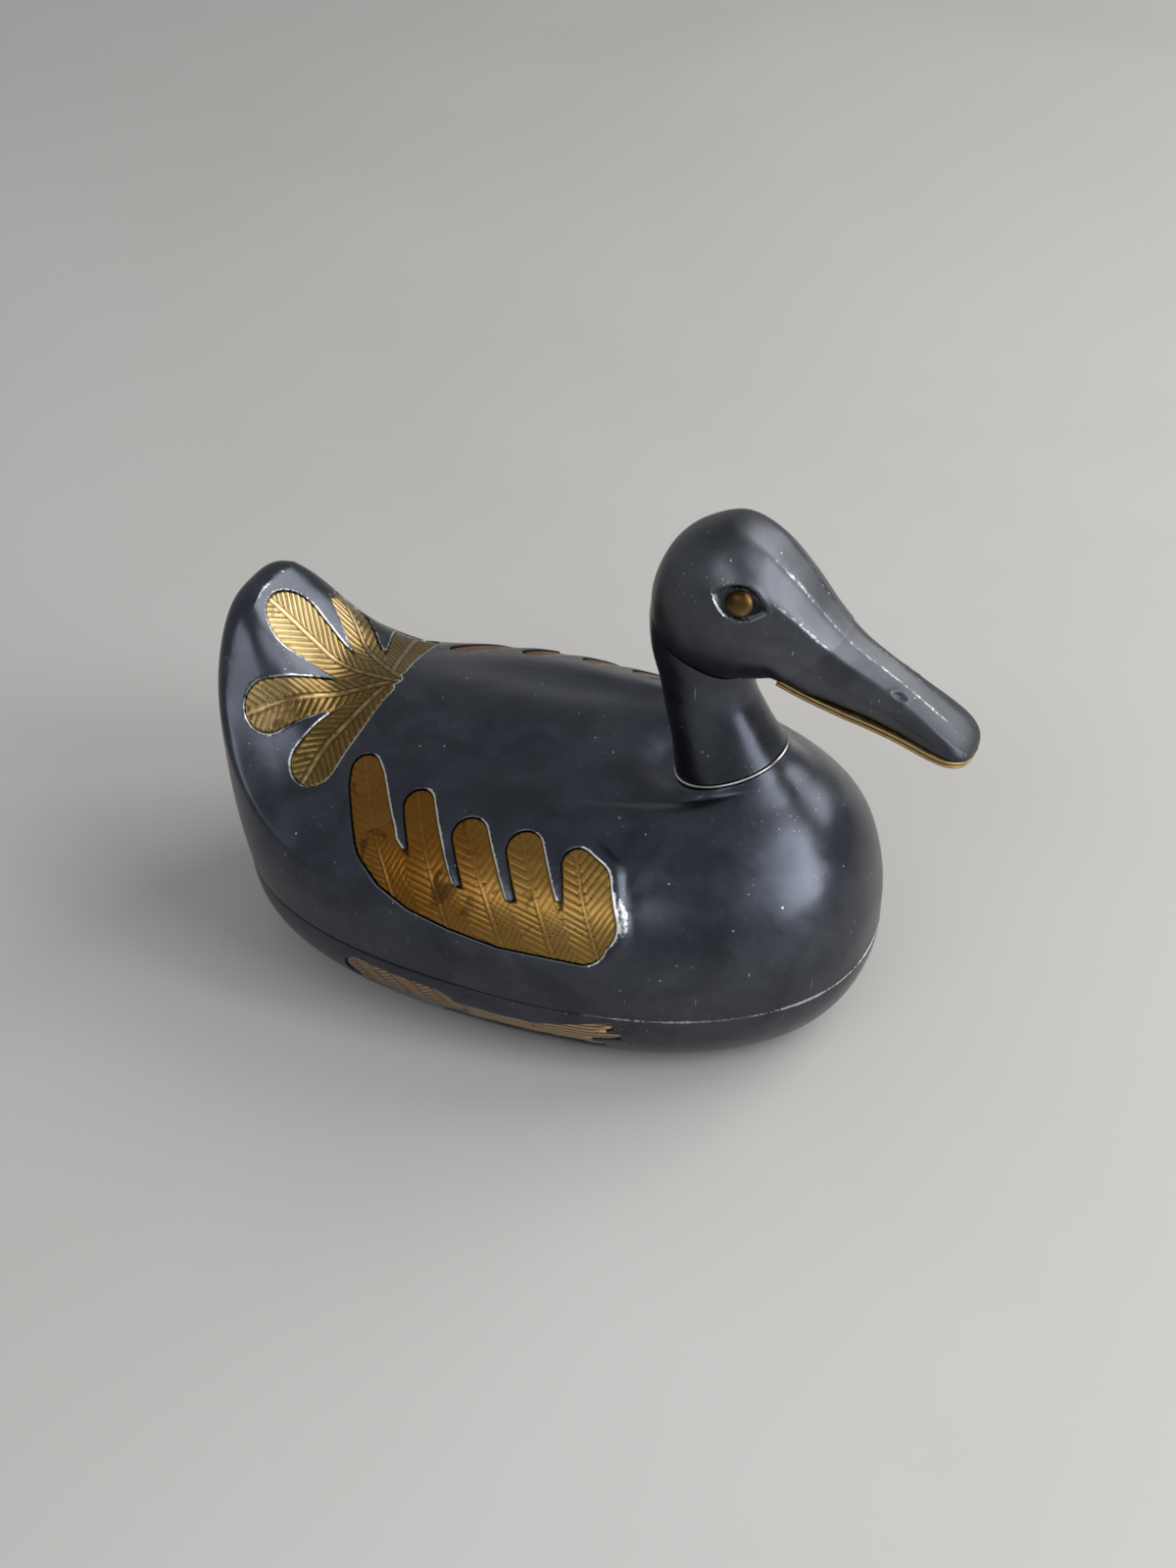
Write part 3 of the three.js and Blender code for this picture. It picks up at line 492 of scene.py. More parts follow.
def plain_lid(turn, rise):
    """Points of the lid's outside in millimetres; turn runs round from the breast, rise from the seam up."""
    turn, rise = paired(turn, rise)
    cos, sin = np.cos(2 * np.pi * turn), np.sin(2 * np.pi * turn)
    ahead = (cos >= 0)[..., None]
    end = np.where(ahead, breast_line(rise), back_line(rise))
    side = flank_line(rise)
    square, fall, taper, flat = np.moveaxis(
        np.where(ahead, form_at(FRONT_FORM, rise), form_at(REAR_FORM, rise)), -1, 0)
    reach = (np.abs(cos) ** square + np.abs(sin) ** square) ** (-1 / square)
    along, out = reach * np.abs(cos), reach * sin
    level = np.maximum(0, 1 - np.abs(out) ** flat) ** fall
    return np.stack([mix(side[..., 0], end[..., 0], along), side[..., 1] * out * (1 - taper * along ** 2),
                     mix(side[..., 2], end[..., 2], level) + LID_FOOT], -1)


def normal_of(surface, turn, rise, step=2e-3):
    turn, rise = np.asarray(turn, float), np.asarray(rise, float)
    around = surface(turn + step, rise) - surface(turn - step, rise)
    upward = surface(turn, np.minimum(rise + step, 1)) - surface(turn, np.maximum(rise - step, 0))
    normal = np.cross(around, upward)
    return normal / np.maximum(np.linalg.norm(normal, axis=-1, keepdims=True), 1e-9)


def bowl(turn, rise):
    """Points of the bowl's outside: the seam moved inwards and down along a quarter ellipse."""
    turn, rise = paired(turn, rise)
    point = plain_lid(turn, np.zeros_like(rise))
    tangent = plain_lid(turn + 1e-3, np.zeros_like(rise)) - plain_lid(turn - 1e-3, np.zeros_like(rise))
    inwards = unit(np.stack([-tangent[..., 1], tangent[..., 0], np.zeros_like(rise)], -1))
    angle = 0.5 * np.pi * rise
    point = point + inwards * (BASE_TURN_IN * (1 - np.sin(angle)))[..., None]
    point[..., 2] = BASE_DEPTH * (1 - np.cos(angle))
    return point


for turn in (0, 0.25, 0.5, 0.75):
    print("seam at", turn, np.round(plain_lid(turn, 0), 1), "collar", np.round(plain_lid(turn, 1), 1))

# %% [markdown]
# Each feather opening is a tapered strip with round ends. The distance from any point to the nearest
# strip tells three things: where to cut the sheet, where its edge is worn, and where the brass goes.
# The wing and the leg are drawn on a plane that touches the body; each tail feather has its own plane.

# %% Distance to the feather strips
class Strip:
    def __init__(self, root, along, normal, length, radii, reach):
        self.root, self.along, self.normal = root, along, normal
        self.across = np.cross(normal, along)
        self.length, self.radii, self.reach = length, radii, reach

    def place(self, points):
        """Along, across and height of points, in the strip's own frame."""
        offset = points - self.root
        return offset @ self.along, offset @ self.across, offset @ self.normal

    def distance(self, points):
        """Signed distance to the outline, negative inside it."""
        along, across, height = self.place(points)
        across = np.abs(across)
        (wide, narrow), span = self.radii, self.length - self.radii[1]
        lean = (wide - narrow) / span
        level = math.sqrt(1 - lean * lean)
        between = level * along - lean * across
        side = level * across + lean * along - wide
        found = np.where(between < 0, np.hypot(along, across) - wide,
                         np.where(between > level * span, np.hypot(along - span, across) - narrow, side))
        return np.maximum(found, np.maximum(-self.reach[0] - height, height - self.reach[1]))


def strip_between(root, tip, normal, radii, reach):
    run = tip - root
    run = run - normal * (run @ normal)
    return Strip(root, unit(run), normal, np.linalg.norm(run), radii, reach)


def strips_on(surface, place, rows, reach):
    """Strips in millimetres on the plane that touches a surface, forwards and up from that place."""
    origin, normal = surface(*place), normal_of(surface, *place)
    along = unit(np.array([1.0, 0, 0]) - normal * normal[0])
    up = np.cross(normal, along)
    spot = lambda x, y: origin + along * x + up * y
    return [strip_between(spot(*root), spot(*tip), normal, radii, reach) for root, tip, radii in rows]


print("strip helpers ready")

# %% [markdown]
# A wing is five feathers that stand on a hand. The hand is drawn as round spots along its lower edge, with a
# strip from each spot to the next, because strips that share their end spots meet in one smooth curve. The
# leg is a thigh, a shank and three toes. The rows are millimetres forwards and up on the touching plane, and
# the tail feathers are given as turn and rise instead, because the tail curves too much for one plane.

# %% Outlines of the wings, the legs and the tail
def links(spots):
    """A strip from each round spot to the next, so that the outline passes smoothly from one to another."""
    rows = []
    for (x, y, radius), (next_x, next_y, next_radius) in zip(spots, spots[1:]):
        past = 1 + next_radius / math.hypot(next_x - x, next_y - y)
        rows.append(((x, y), (mix(x, next_x, past), mix(y, next_y, past)), (radius, next_radius)))
    return rows


WING_PLACE, LEG_PLACE = (0.755, 0.34), (0.75, 0.74)
WING_REACH, LEG_REACH = (18, 6), (8, 4)
WING_FINGERS = strips_on(plain_lid, WING_PLACE, [
    ((-28.7, 6.9), (-42.1, 26.9), (5.3, 4.3)), ((-6, -5.6), (-22.5, 21.5), (5.6, 4.6)),
    ((7.9, -3.8), (-5.8, 17.6), (5.7, 5.2)), ((22.6, -3.2), (9.8, 18), (5.7, 5.3)),
    ((35.2, -1.5), (25.4, 17.4), (6.2, 4.5))], WING_REACH)
WING_FRONT = ((35.2, -1), (30.8, 15.4), (6.9, 5.4))
# Round spots along the lower edge of the wing, each with its radius
WING_EDGE = [(-37.4, 19.4, 4.7), (-27.4, 4, 6), (-21.1, -0.9, 6), (-12.4, -4.5, 6), (-1.4, -6.4, 6),
             (12, -7, 6.5), (34, -5, 6.9)]
WING_HAND = strips_on(plain_lid, WING_PLACE, [WING_FRONT] + links(WING_EDGE), WING_REACH)
LEG_STRIPS = strips_on(bowl, LEG_PLACE, [
    ((-34, -0.6), (-4.4, -1), (6.2, 6.7)), ((-8, -2), (27, -0.6), (4.3, 3.6)),
    ((22, 0.6), (40, 5.4), (2.9, 1.8)), ((22, -0.6), (41.6, 0.6), (2.9, 1.8)),
    ((22, -1.6), (36.6, -5.4), (2.9, 1.8))], LEG_REACH)

# Root and tip, radii there, and how far the cut reaches below and above the feather's plane
TAIL_ROWS = [
    ((0.531, 0.645), (0.644, 0.381), (3.4, 6.9), (10, 8)),
    ((0.52, 0.643), (0.603, 0.309), (3.6, 7.1), (12, 9)),
    ((0.503, 0.65), (0.52, 0.397), (3, 9.7), (7, 11)),
    ((0.483, 0.645), (0.411, 0.378), (2.9, 7.3), (10, 10)),
    ((0.475, 0.642), (0.358, 0.4), (3.9, 6.6), (10, 8))]
TAIL_FEATHERS = []
for root, tip, radii, reach in TAIL_ROWS:
    normal = unit(normal_of(plain_lid, *root) + normal_of(plain_lid, *tip))
    TAIL_FEATHERS.append(strip_between(plain_lid(*root), plain_lid(*tip), normal, radii, reach))


def near_side(points):
    """Points moved to the duck's right side, where the wing and the leg are drawn."""
    return points * np.where(points[..., 1:2] > 0, [1, -1, 1], [1, 1, 1])


def nearest(strips, points):
    return np.min([strip.distance(points) for strip in strips], axis=0)


def joined(first, second, width=3.0):
    """Distance to two outlines together, with the corner between them filled smoothly."""
    share = np.clip(0.5 + 0.5 * (second - first) / width, 0, 1)
    return mix(second, first, share) - width * share * (1 - share)


def wing_distance(points):
    """Distance to the wing's outline; its first and last feathers run smoothly into the strips below."""
    points = near_side(points)
    front = joined(WING_FINGERS[-1].distance(points), WING_HAND[0].distance(points))
    rear = joined(WING_FINGERS[0].distance(points), WING_HAND[1].distance(points))
    middle = nearest(WING_FINGERS[1:-1] + WING_HAND[2:], points)
    return np.minimum(np.minimum(front, rear), middle)


def lid_openings(points):
    return np.minimum(nearest(TAIL_FEATHERS, points), wing_distance(points))


def leg_openings(points):
    return nearest(LEG_STRIPS, near_side(points))


print("strips:", len(WING_FINGERS + WING_HAND), "wing", len(LEG_STRIPS), "leg", len(TAIL_FEATHERS), "tail")

# %% [markdown]
# The front end of each wing stands up a little from the breast, because the smith chased the sheet down
# round it. The rim of the tail has a crease, where the wall turns over into the scoop. Both are added to
# the lid along its normal, so the sheet and the brass behind it agree.

# %% The lid with its swell and its crease
SWELL, SWELL_FORWARD, SWELL_WIDTH = 1.5, (6, 34), (4.4, 0.3)
CREASE, CREASE_WIDTH, CREASE_RISE, CREASE_DROP = 0.34, 1.3, 0.378, 0.125


def crease_distance(turn, rise):
    """Roughly how many millimetres a place lies from the crease round the tail."""
    sideways = np.abs(turn - 0.5)
    line = CREASE_RISE - CREASE_DROP * smooth_step(sideways, 0.04, 0.09)
    return 125 * np.abs(rise - line) + 40 * smooth_step(sideways, 0.1, 0.15)


def lid(turn, rise):
    point = plain_lid(turn, rise)
    forward = smooth_step(point[..., 0], *SWELL_FORWARD)
    height = SWELL * forward * smooth_step(wing_distance(point), *SWELL_WIDTH)
    height = height + CREASE * np.exp(-crease_distance(turn, rise) / CREASE_WIDTH)
    return point + normal_of(plain_lid, turn, rise) * height[..., None]


print("swell at the wing front", np.round(lid(0.86, 0.3) - plain_lid(0.86, 0.3), 2))

# %% [markdown]
# A sheet starts as a flat grid, which is moved onto a surface. The openings could be cut with a Boolean,
# but that leaves thin faces that spoil a mirror finish. Here the vertices nearest to an outline slide onto
# it along the surface, and the faces inside are deleted, so the sheet keeps its even quads.

# %% Flat grids
def places(bm, turns, rises):
    """The turn and rise of each vertex of a flat grid, which also numbers them."""
    number = bm.verts.layers.int["number"]
    for i, vert in enumerate(bm.verts):
        vert[number] = i
    flat = np.array([vert.co[:2] for vert in bm.verts]) + 0.5
    return np.stack([mix(*turns, flat[:, 0]), mix(*rises, flat[:, 1])], -1)


def grid_sheet(around, along, turns=(0, 1), rises=(0, 1)):
    """A flat grid and the turn and rise of each of its vertices."""
    bm = bmesh.new()
    bmesh.ops.create_grid(bm, x_segments=around, y_segments=along, size=0.5)
    bm.verts.layers.int.new("number")
    bm.verts.layers.float.new("lip")
    return bm, places(bm, turns, rises)


def refine(bm, place, surface, field, reach):
    """Splits each quad near an outline into nine, while the grid is still flat."""
    near = np.abs(field(surface(*place.T))) < reach
    bm.verts.index_update()
    close = [face for face in bm.faces if any(near[vert.index] for vert in face.verts)]
    edges = {edge for face in close for edge in face.edges}
    bmesh.ops.subdivide_edges(bm, edges=list(edges), cuts=2, use_grid_fill=True)
    bm.verts.index_update()
    return places(bm, (0, 1), (0, 1))


def move_to(bm, points):
    for vert, point in zip(bm.verts, points):
        vert.co = point * MM


def write_layer(bm, name, values):
    layer = bm.verts.layers.float.get(name) or bm.verts.layers.float.new(name)
    for vert, value in zip(bm.verts, values):
        vert[layer] = value


print("grid helpers ready")

# %% [markdown]
# Where the distance to an outline changes its sign along an edge, the outline crosses that edge. The nearer
# end then slides downhill to it, a few steps of Newton's method at a time. The rim that this leaves is turned
# over as a narrow lip. Edges that face the rear are marked as the most scuffed and painted bright, as a
# highlight, and edges that face forwards are painted dark, as shade.

# %% Cutting along an outline
LONGEST_SLIDE = 60


def slide_to_outline(place, surface, field, chosen, step=1e-4):
    """Moves the chosen places along the surface until the field is zero there."""
    for _ in range(5):
        spot = place[chosen]
        at = lambda u, v: surface(spot[:, 0] + u, spot[:, 1] + v)
        value = field(at(0, 0))
        slope = np.stack([field(at(step, 0)) - field(at(-step, 0)),
                          field(at(0, step)) - field(at(0, -step))], -1)
        run = np.stack([at(step, 0) - at(-step, 0), at(0, step) - at(0, -step)], 1)
        metric = run @ run.transpose(0, 2, 1) + np.eye(2) * 1e-12
        way = np.linalg.solve(metric, slope[..., None])[..., 0]
        share = value / np.maximum(np.sum(slope * way, -1), 1e-9)
        place[chosen] = spot - np.clip(share[:, None] * way, -LONGEST_SLIDE, LONGEST_SLIDE) * 2 * step


# Lips that face against this direction are scuffed and painted bright, as a highlight; lips that face along
# it are painted dark, as shade
LIT_AND_SCUFFED_FROM = np.array([0.94, 0, 0.34])


def outline_way(points, normal, field):
    """The way from points into an opening along the surface, and how scuffed and how brightly painted an edge
    facing that way is.
    """
    slope = np.stack([field(points + axis) - field(points - axis) for axis in np.eye(3) * 0.01], -1)
    slope -= normal * np.sum(slope * normal, -1, keepdims=True)
    way = -slope / np.maximum(np.linalg.norm(slope, axis=-1, keepdims=True), 1e-9)
    return way, np.clip(0.5 - 0.6 * way @ LIT_AND_SCUFFED_FROM, 0.01, 1)


def add_lip(bm, place, surface, field, edges, width, drop):
    """Turns an edge over: a narrow strip past the outline and down, most scuffed and painted brightest where
    it faces back.
    """
    grown = bmesh.ops.extrude_edge_only(bm, edges=edges)["geom"]
    verts = [item for item in grown if isinstance(item, bmesh.types.BMVert)]
    number, lip = bm.verts.layers.int["number"], bm.verts.layers.float["lip"]
    turn, rise = place[[vert[number] for vert in verts]].T
    points, normal = surface(turn, rise), normal_of(surface, turn, rise)
    way, scuff_and_light = outline_way(points, normal, field)
    for vert, point, value in zip(verts, points + way * width - normal * drop, scuff_and_light):
        vert.co = point * MM
        vert[lip] = value


def trim(bm, place, surface, field, lip=None):
    """Puts a sheet on its surface and removes the part where the field is negative."""
    value = field(surface(place[:, 0], place[:, 1]))
    ends = np.array([[vert.index for vert in edge.verts] for edge in bm.edges])
    first, second = value[ends[:, 0]], value[ends[:, 1]]
    nearer = np.where(np.abs(first) < np.abs(second), ends[:, 0], ends[:, 1])
    chosen = np.unique(nearer[first * second < 0])
    slide_to_outline(place, surface, field, chosen)
    value[chosen] = 0
    move_to(bm, surface(place[:, 0], place[:, 1]))
    value_of = dict(zip(bm.verts, value))
    for face in list(bm.faces):
        values = [value_of[vert] for vert in face.verts]
        if min(values) < 0 < max(values):
            on_outline = [vert for vert in face.verts if value_of[vert] == 0]
            bmesh.utils.face_split(face, on_outline[0], on_outline[1])
    gone = [face for face in bm.faces if min(value_of[vert] for vert in face.verts) < 0]
    flat = [face for face in bm.faces if all(value_of[vert] == 0 for vert in face.verts)]
    if flat:
        middles = field(np.array([face.calc_center_median() for face in flat]) / MM)
        gone += [face for face, middle in zip(flat, middles) if middle < 0]
    bmesh.ops.delete(bm, geom=gone, context="FACES")
    if lip:
        outline = [edge for edge in bm.edges
                   if edge.is_boundary and all(value_of[vert] == 0 for vert in edge.verts)]
        add_lip(bm, place, surface, field, outline, *lip)
    return place_of(bm, place)


def place_of(bm, place):
    """The turn and rise of each vertex that is left."""
    number = bm.verts.layers.int["number"]
    return place[[vert[number] for vert in bm.verts]]


def lips(bm):
    layer = bm.verts.layers.float["lip"]
    return np.array([vert[layer] for vert in bm.verts])


def border(bm, place, rise):
    """Edges of the sheet's own border at one rise."""
    number = bm.verts.layers.int["number"]
    return [edge for edge in bm.edges
            if edge.is_boundary and all(place[vert[number], 1] == rise for vert in edge.verts)]


def close_seam(bm):
    bmesh.ops.remove_doubles(bm, verts=bm.verts[:], dist=0.02 * MM)


print("cutting helpers ready")

# %% [markdown]
# A sheet gets its thickness when it is extruded backwards. The solidify operator would use the normals of the
# mesh, which waver beside an outline, so each vertex moves along the normal of its surface instead. The last
# helper turns a finished mesh into an object, hangs it on an empty for the body that carries it, and hides
# the CAD nodes that it stands for.

# %% Walls and finished pieces
def give_wall(bm, normals, thickness, lining=0):
    """Thickness behind a sheet, along its surface's normals; the inner faces take the lining."""
    outside = set(bm.faces)
    bmesh.ops.reverse_faces(bm, faces=bm.faces[:])
    grown = bmesh.ops.extrude_face_region(bm, geom=bm.faces[:], use_keep_orig=True)["geom"]
    number = bm.verts.layers.int["number"]
    for item in grown:
        if isinstance(item, bmesh.types.BMVert):
            item.co -= Vector(normals[item[number]] * (thickness * MM))
    inside = set(grown)
    for face in bm.faces:
        if face not in outside and all(vert in inside for vert in face.verts):
            face.material_index = lining


def add_piece(bm, name, materials, body, nodes, crease=40):
    """The finished mesh as an object that rides on its body and stands for its CAD nodes."""
    for edge in bm.edges:
        edge.smooth = not (edge.is_manifold and edge.calc_face_angle(0) > math.radians(crease))
    mesh = bpy.data.meshes.new(name)
    bm.to_mesh(mesh)
    bm.free()
    mesh.polygons.foreach_set("use_smooth", [True] * len(mesh.polygons))
    for material in materials:
        mesh.materials.append(material)
    piece = bpy.data.objects.new(name, mesh)
    scene.collection.objects.link(piece)
    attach(piece, body)
    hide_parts(*nodes)
    triangles = sum(len(polygon.vertices) - 2 for polygon in mesh.polygons)
    print(name, len(mesh.vertices), "vertices", triangles, "triangles")
    return piece


print("piece helpers ready")

# %% [markdown]
# A saw leaves a sharp edge, and handling rounds it until the patina wears through. So each opening, and
# each side of the seam, gets a lip about a quarter of a millimetre wide, and the wear is written there,
# with a painted highlight on lips that face back and painted shade on lips that face forwards. The swell
# in front of the wing carries a painted highlight, and the seam a painted shade at the rear.
# The inside of the sheet was never patinated, so its faces take a duller, paler pewter.

# %% Lid shell
def edge_wear(*distances):
    """How worn a point is: 1 on an edge, fading within about a millimetre."""
    return np.max([np.exp(-np.maximum(distance, 0) / 0.7) for distance in distances], axis=0)


def seam_wear_and_shade_at(points, most):
    """Wear along the seam: painted shade at the rear, which widens the dark gap, and rubbed bright towards
    the breast.
    """
    return mix(-0.9, most, smooth_step(points[:, 0], -20, 50))


# Width of a lip past its outline, and its drop
CUT_LIP, SEAM_LIP = (0.27, 0.15), (0.08, 0.25)
TAIL_SCUFF, RIM_REACH, RIM_WIDTH = 0.75, 1.5, 0.4
SEAM_ROUND, LID_ROWS, LID_FINE = 230, 120, 2.4


def cut_shell(surface, openings, rows, fine, seam, past_seam):
    """A sheet round the whole body, its openings cut and its edges turned over, with each vertex's place."""
    bm, full = grid_sheet(SEAM_ROUND, rows)
    full = refine(bm, full, surface, openings, fine)
    trim(bm, full, surface, openings, CUT_LIP)
    add_lip(bm, full, surface, past_seam, border(bm, full, seam), *SEAM_LIP)
    place = place_of(bm, full)
    return bm, full, place, surface(*place.T), lips(bm)


bm, full, place, points, lip = cut_shell(lid, lid_openings, LID_ROWS, LID_FINE, 0,
                                         lambda points: points[..., 2] - LID_FOOT)
on_tail = smooth_step(points[:, 0], -48, -54)
# Lips are worn and painted bright facing back, as a highlight, and painted dark facing forwards, as shade;
# tail lips are all worn bright
cut_wear_and_painted_light = mix(-0.5, 1.5, np.maximum(lip, TAIL_SCUFF * on_tail))
seam_wear_and_shade = seam_wear_and_shade_at(points, 1.3)
gap = lid_openings(points)
# Beside each opening the sheet is worn and painted bright where it faces back, as a highlight
rim_wear_and_highlight = np.zeros(len(points))
beside = gap < RIM_REACH
_, scuff_and_light = outline_way(points[beside], normal_of(lid, *place[beside].T), lid_openings)
scuff_and_light = np.maximum(scuff_and_light, TAIL_SCUFF * on_tail[beside])
rim_wear_and_highlight[beside] = 1.4 * scuff_and_light * np.exp(-(gap[beside] / RIM_WIDTH) ** 2)
crease_wear = 0.85 * np.exp(-(crease_distance(*place.T) / 0.9) ** 2)
# A painted highlight: a soft bright crescent on the pewter just in front of the wing, along its swell
upward, behind, _ = WING_HAND[0].place(near_side(points))
swell_painted_highlight = np.exp(-((wing_distance(points) - 1.4) / 1.5) ** 2) * smooth_step(behind, -2, -5)
swell_painted_highlight *= smooth_step(upward, -9, 1) * smooth_step(upward, 18, 1)
sheet_wear_and_painted_light = np.max([crease_wear, swell_painted_highlight, rim_wear_and_highlight], axis=0)
# The seam's own row takes the seam's wear and its painted shade
sheet_wear_and_painted_light = np.where(place[:, 1] == 0, 0.8 * seam_wear_and_shade, sheet_wear_and_painted_light)
wear = np.where(place[:, 1] == 0, seam_wear_and_shade, cut_wear_and_painted_light)
write_layer(bm, "edge", np.where(lip > 0, wear, sheet_wear_and_painted_light))
close_seam(bm)
give_wall(bm, normal_of(lid, *full.T), WALL, lining=1)
add_piece(bm, "lid_sheet", [PEWTER, LINING_PEWTER], "lid", ["lid_shell"])

# %% [markdown]
# The bowl is made in the same way as the lid, with the two legs sawn out of its flanks. It has one more worn
# edge, at the bottom, where the box has been pushed about on a table.

# %% Bowl shell
BOWL_ROWS, BOWL_FINE = 40, 2.0
bm, full, place, points, lip = cut_shell(bowl, leg_openings, BOWL_ROWS, BOWL_FINE, 1,
                                         lambda points: BASE_DEPTH - points[..., 2])
seam_wear_and_shade = seam_wear_and_shade_at(points, 1.4)
# Leg lips are painted bright facing back and dark facing forwards, as highlight and shade
wear = np.where(place[:, 1] == 1, seam_wear_and_shade, mix(-0.4, 1.2, lip))
sheet_wear_and_painted_light = np.where(place[:, 1] == 1, 0.8 * seam_wear_and_shade, 0.5 * edge_wear(points[:, 2]))
write_layer(bm, "edge", np.where(lip > 0, wear, sheet_wear_and_painted_light))
close_seam(bm)
give_wall(bm, normal_of(bowl, *full.T), WALL, lining=1)
add_piece(bm, "bowl_sheet", [PEWTER, LINING_PEWTER], "base", ["base_shell"])

# %% [markdown]
# Behind each opening lies a brass plate, a little larger than it, with feathers stamped in relief. The
# relief is real: barbs slant from a raised midrib towards the tip, and the grid is fine enough to carry
# them, at about a quarter of a millimetre. A bump map would be lighter, but it fails at a low angle. The
# plate was pressed up into its opening, so the brass lies only half a millimetre below the pewter.

# %% Feather relief
def barbs(along, across, pitch, slant, stem, line, rounded):
    """Relief of one feather from 0 to 1: slanted barbs on both sides of a raised midrib."""
    side = np.abs(across)
    run = along - slant * side
    phase = run / np.where(run < 0, *pitch)
    off_line = np.abs(phase - np.round(phase)) * pitch[1] / math.hypot(1, slant)
    barb = mix(1 - np.exp(-(off_line / line) ** 2), np.abs(np.sin(np.pi * phase)) ** 0.8, rounded)
    beside = 1 - 0.9 * np.exp(-((side - stem) / (0.8 * line)) ** 2)
    midrib = smooth_step(side, 1.05 * stem, 0.7 * stem)
    return mix(0.8 * barb * beside, beside, midrib)


def feathered(strips, points, by_axis, *style):
    """Relief of the feather that each point belongs to."""
    frames = [strip.place(points) for strip in strips]
    if by_axis:
        score = [np.abs(across) / sum(strip.radii) for strip, (along, across, _) in zip(strips, frames)]
    else:
        score = [strip.distance(points) for strip in strips]
    owner = np.argmin(score, axis=0)
    relief = np.zeros(len(points))
    for i, (along, across, _) in enumerate(frames):
        mine = owner == i
        relief[mine] = barbs(along[mine], across[mine], *style)
    return relief


# Pitch towards the root and the tip, slant, half width of the midrib, width of a groove, and how round
# the barbs are
WING_STYLE, TAIL_STYLE = ((1.9, 2.6), 0.9, 0.6, 0.26, 0.0), ((2.1, 2.1), 0.85, 0.85, 0.34, 1.0)


def wing_relief(points):
    """Barbs that are sharpest on the front feather and rubbed faint on the tips of the others."""
    points = near_side(points)
    forward, above, _ = WING_HAND[-2].place(points)
    clear = np.maximum(smooth_step(forward, 23.4, 33.4), 0.6 * smooth_step(above, 14.4, 3.4))
    return mix(0.62, feathered(WING_FINGERS, points, True, *WING_STYLE), mix(0.5, 1, clear))


def tail_relief(points):
    return feathered(TAIL_FEATHERS, points, False, *TAIL_STYLE)


def leg_relief(points):
    """Woven bands on the thigh, fine lines down the shank and a ridge along each toe."""
    along, across, _ = LEG_STRIPS[0].place(near_side(points))
    band = (0.8 * along + 0.6 * across) / 5.2
    lean = np.where(np.floor(band) % 2 == 0, 1, -1)
    woven = np.abs(np.sin(np.pi * (0.7 * along * lean + 0.9 * across) / 1.5)) ** 1.3
    woven *= smooth_step(np.abs(band - np.round(band)), 0.02, 0.09)
    lines = 0.5 + 0.45 * np.sin(4.2 * across + 0.8 * np.sin(0.5 * along))
    return np.clip(mix(woven, lines, smooth_step(along, 29, 34)), 0, 1)


sample = barbs(np.linspace(0, 3, 5), np.full(5, 3.0), *TAIL_STYLE)
print("relief along a tail feather", np.round(sample, 2))

# %% [markdown]
# One function makes every plate, because the wings, the tail fan and the legs differ only in their outline
# and their pattern. A left plate is a mirrored copy of the right one. A mirror turns faces inside out, so the
# copy has its faces reversed.

# %% Brass plates
EMBOSS, BRASS_CREASE = 0.7, 75
# Columns and rows of a plate's grid, the turns and the rises that it spans, and the height of its relief
WING_EXTENT = (420, 190), (0.615, 0.925), (0.17, 0.62), 0.22
TAIL_EXTENT = (380, 240), (0.33, 0.672), (0.26, 0.72), 0.32
LEG_EXTENT = (330, 110), (0.63, 0.87), (0.42, 0.99), 0.26


def brass_sheet(surface, outline, relief, grid, turns, rises, height):
    """The right-hand plate behind an opening, pressed up into it, stamped and given its thickness."""
    bm, full = grid_sheet(*grid, turns, rises)
    place = trim(bm, full, surface, lambda points: LAP - outline(points))
    points = surface(*place.T)
    level = relief(points)
    raised = EMBOSS * smooth_step(-outline(points), -0.1, 0.7)
    depth = WALL + SEAT - raised - height * level
    move_to(bm, points - normal_of(surface, *place.T) * depth[:, None])
    write_layer(bm, "rib_and_painted_light", level)
    # Edge is 1 under the pewter and at the opening's outline, fading inwards; it darkens the brass there
    write_layer(bm, "edge", np.exp(-np.maximum(-outline(points), 0) / 0.5))
    give_wall(bm, normal_of(surface, *full.T), BRASS)
    return bm


def mirrored_copy(bm):
    twin = bm.copy()
    bmesh.ops.scale(twin, vec=(1, -1, 1), verts=twin.verts[:])
    bmesh.ops.reverse_faces(twin, faces=twin.faces[:])
    return twin


def add_pair(right, name, material, body, node):
    """A plate for each side: a mirrored copy on the left, and the plate itself on the right."""
    for bm, side in ((mirrored_copy(right), "_left"), (right, "_right")):
        add_piece(bm, name + side, [material], body, [node + side], BRASS_CREASE)


wing = brass_sheet(lid, wing_distance, wing_relief, *WING_EXTENT)
add_pair(wing, "wing_brass", WING_BRASS, "lid", "wing_plate")
fan = brass_sheet(lid, lambda points: nearest(TAIL_FEATHERS, points), tail_relief, *TAIL_EXTENT)
add_piece(fan, "tail_brass", [TAIL_BRASS], "lid", ["tail_fan_plate"], BRASS_CREASE)

# %% [markdown]
# The legs lie on the bowl, whose upper inside edge carries a strip for the lid. Their plates stop below that
# strip, so the outline of a leg is cut off level at the strip's foot.

# %% Leg plates
RIM_DROP = 2.2
rim_foot = BASE_DEPTH - RIM_DROP - GAP


def leg_plate(points):
    return np.maximum(leg_openings(points), points[:, 2] - rim_foot + LAP)


leg = brass_sheet(bowl, leg_plate, leg_relief, *LEG_EXTENT)
add_pair(leg, "leg_brass", LEG_BRASS, "base", "leg_plate")

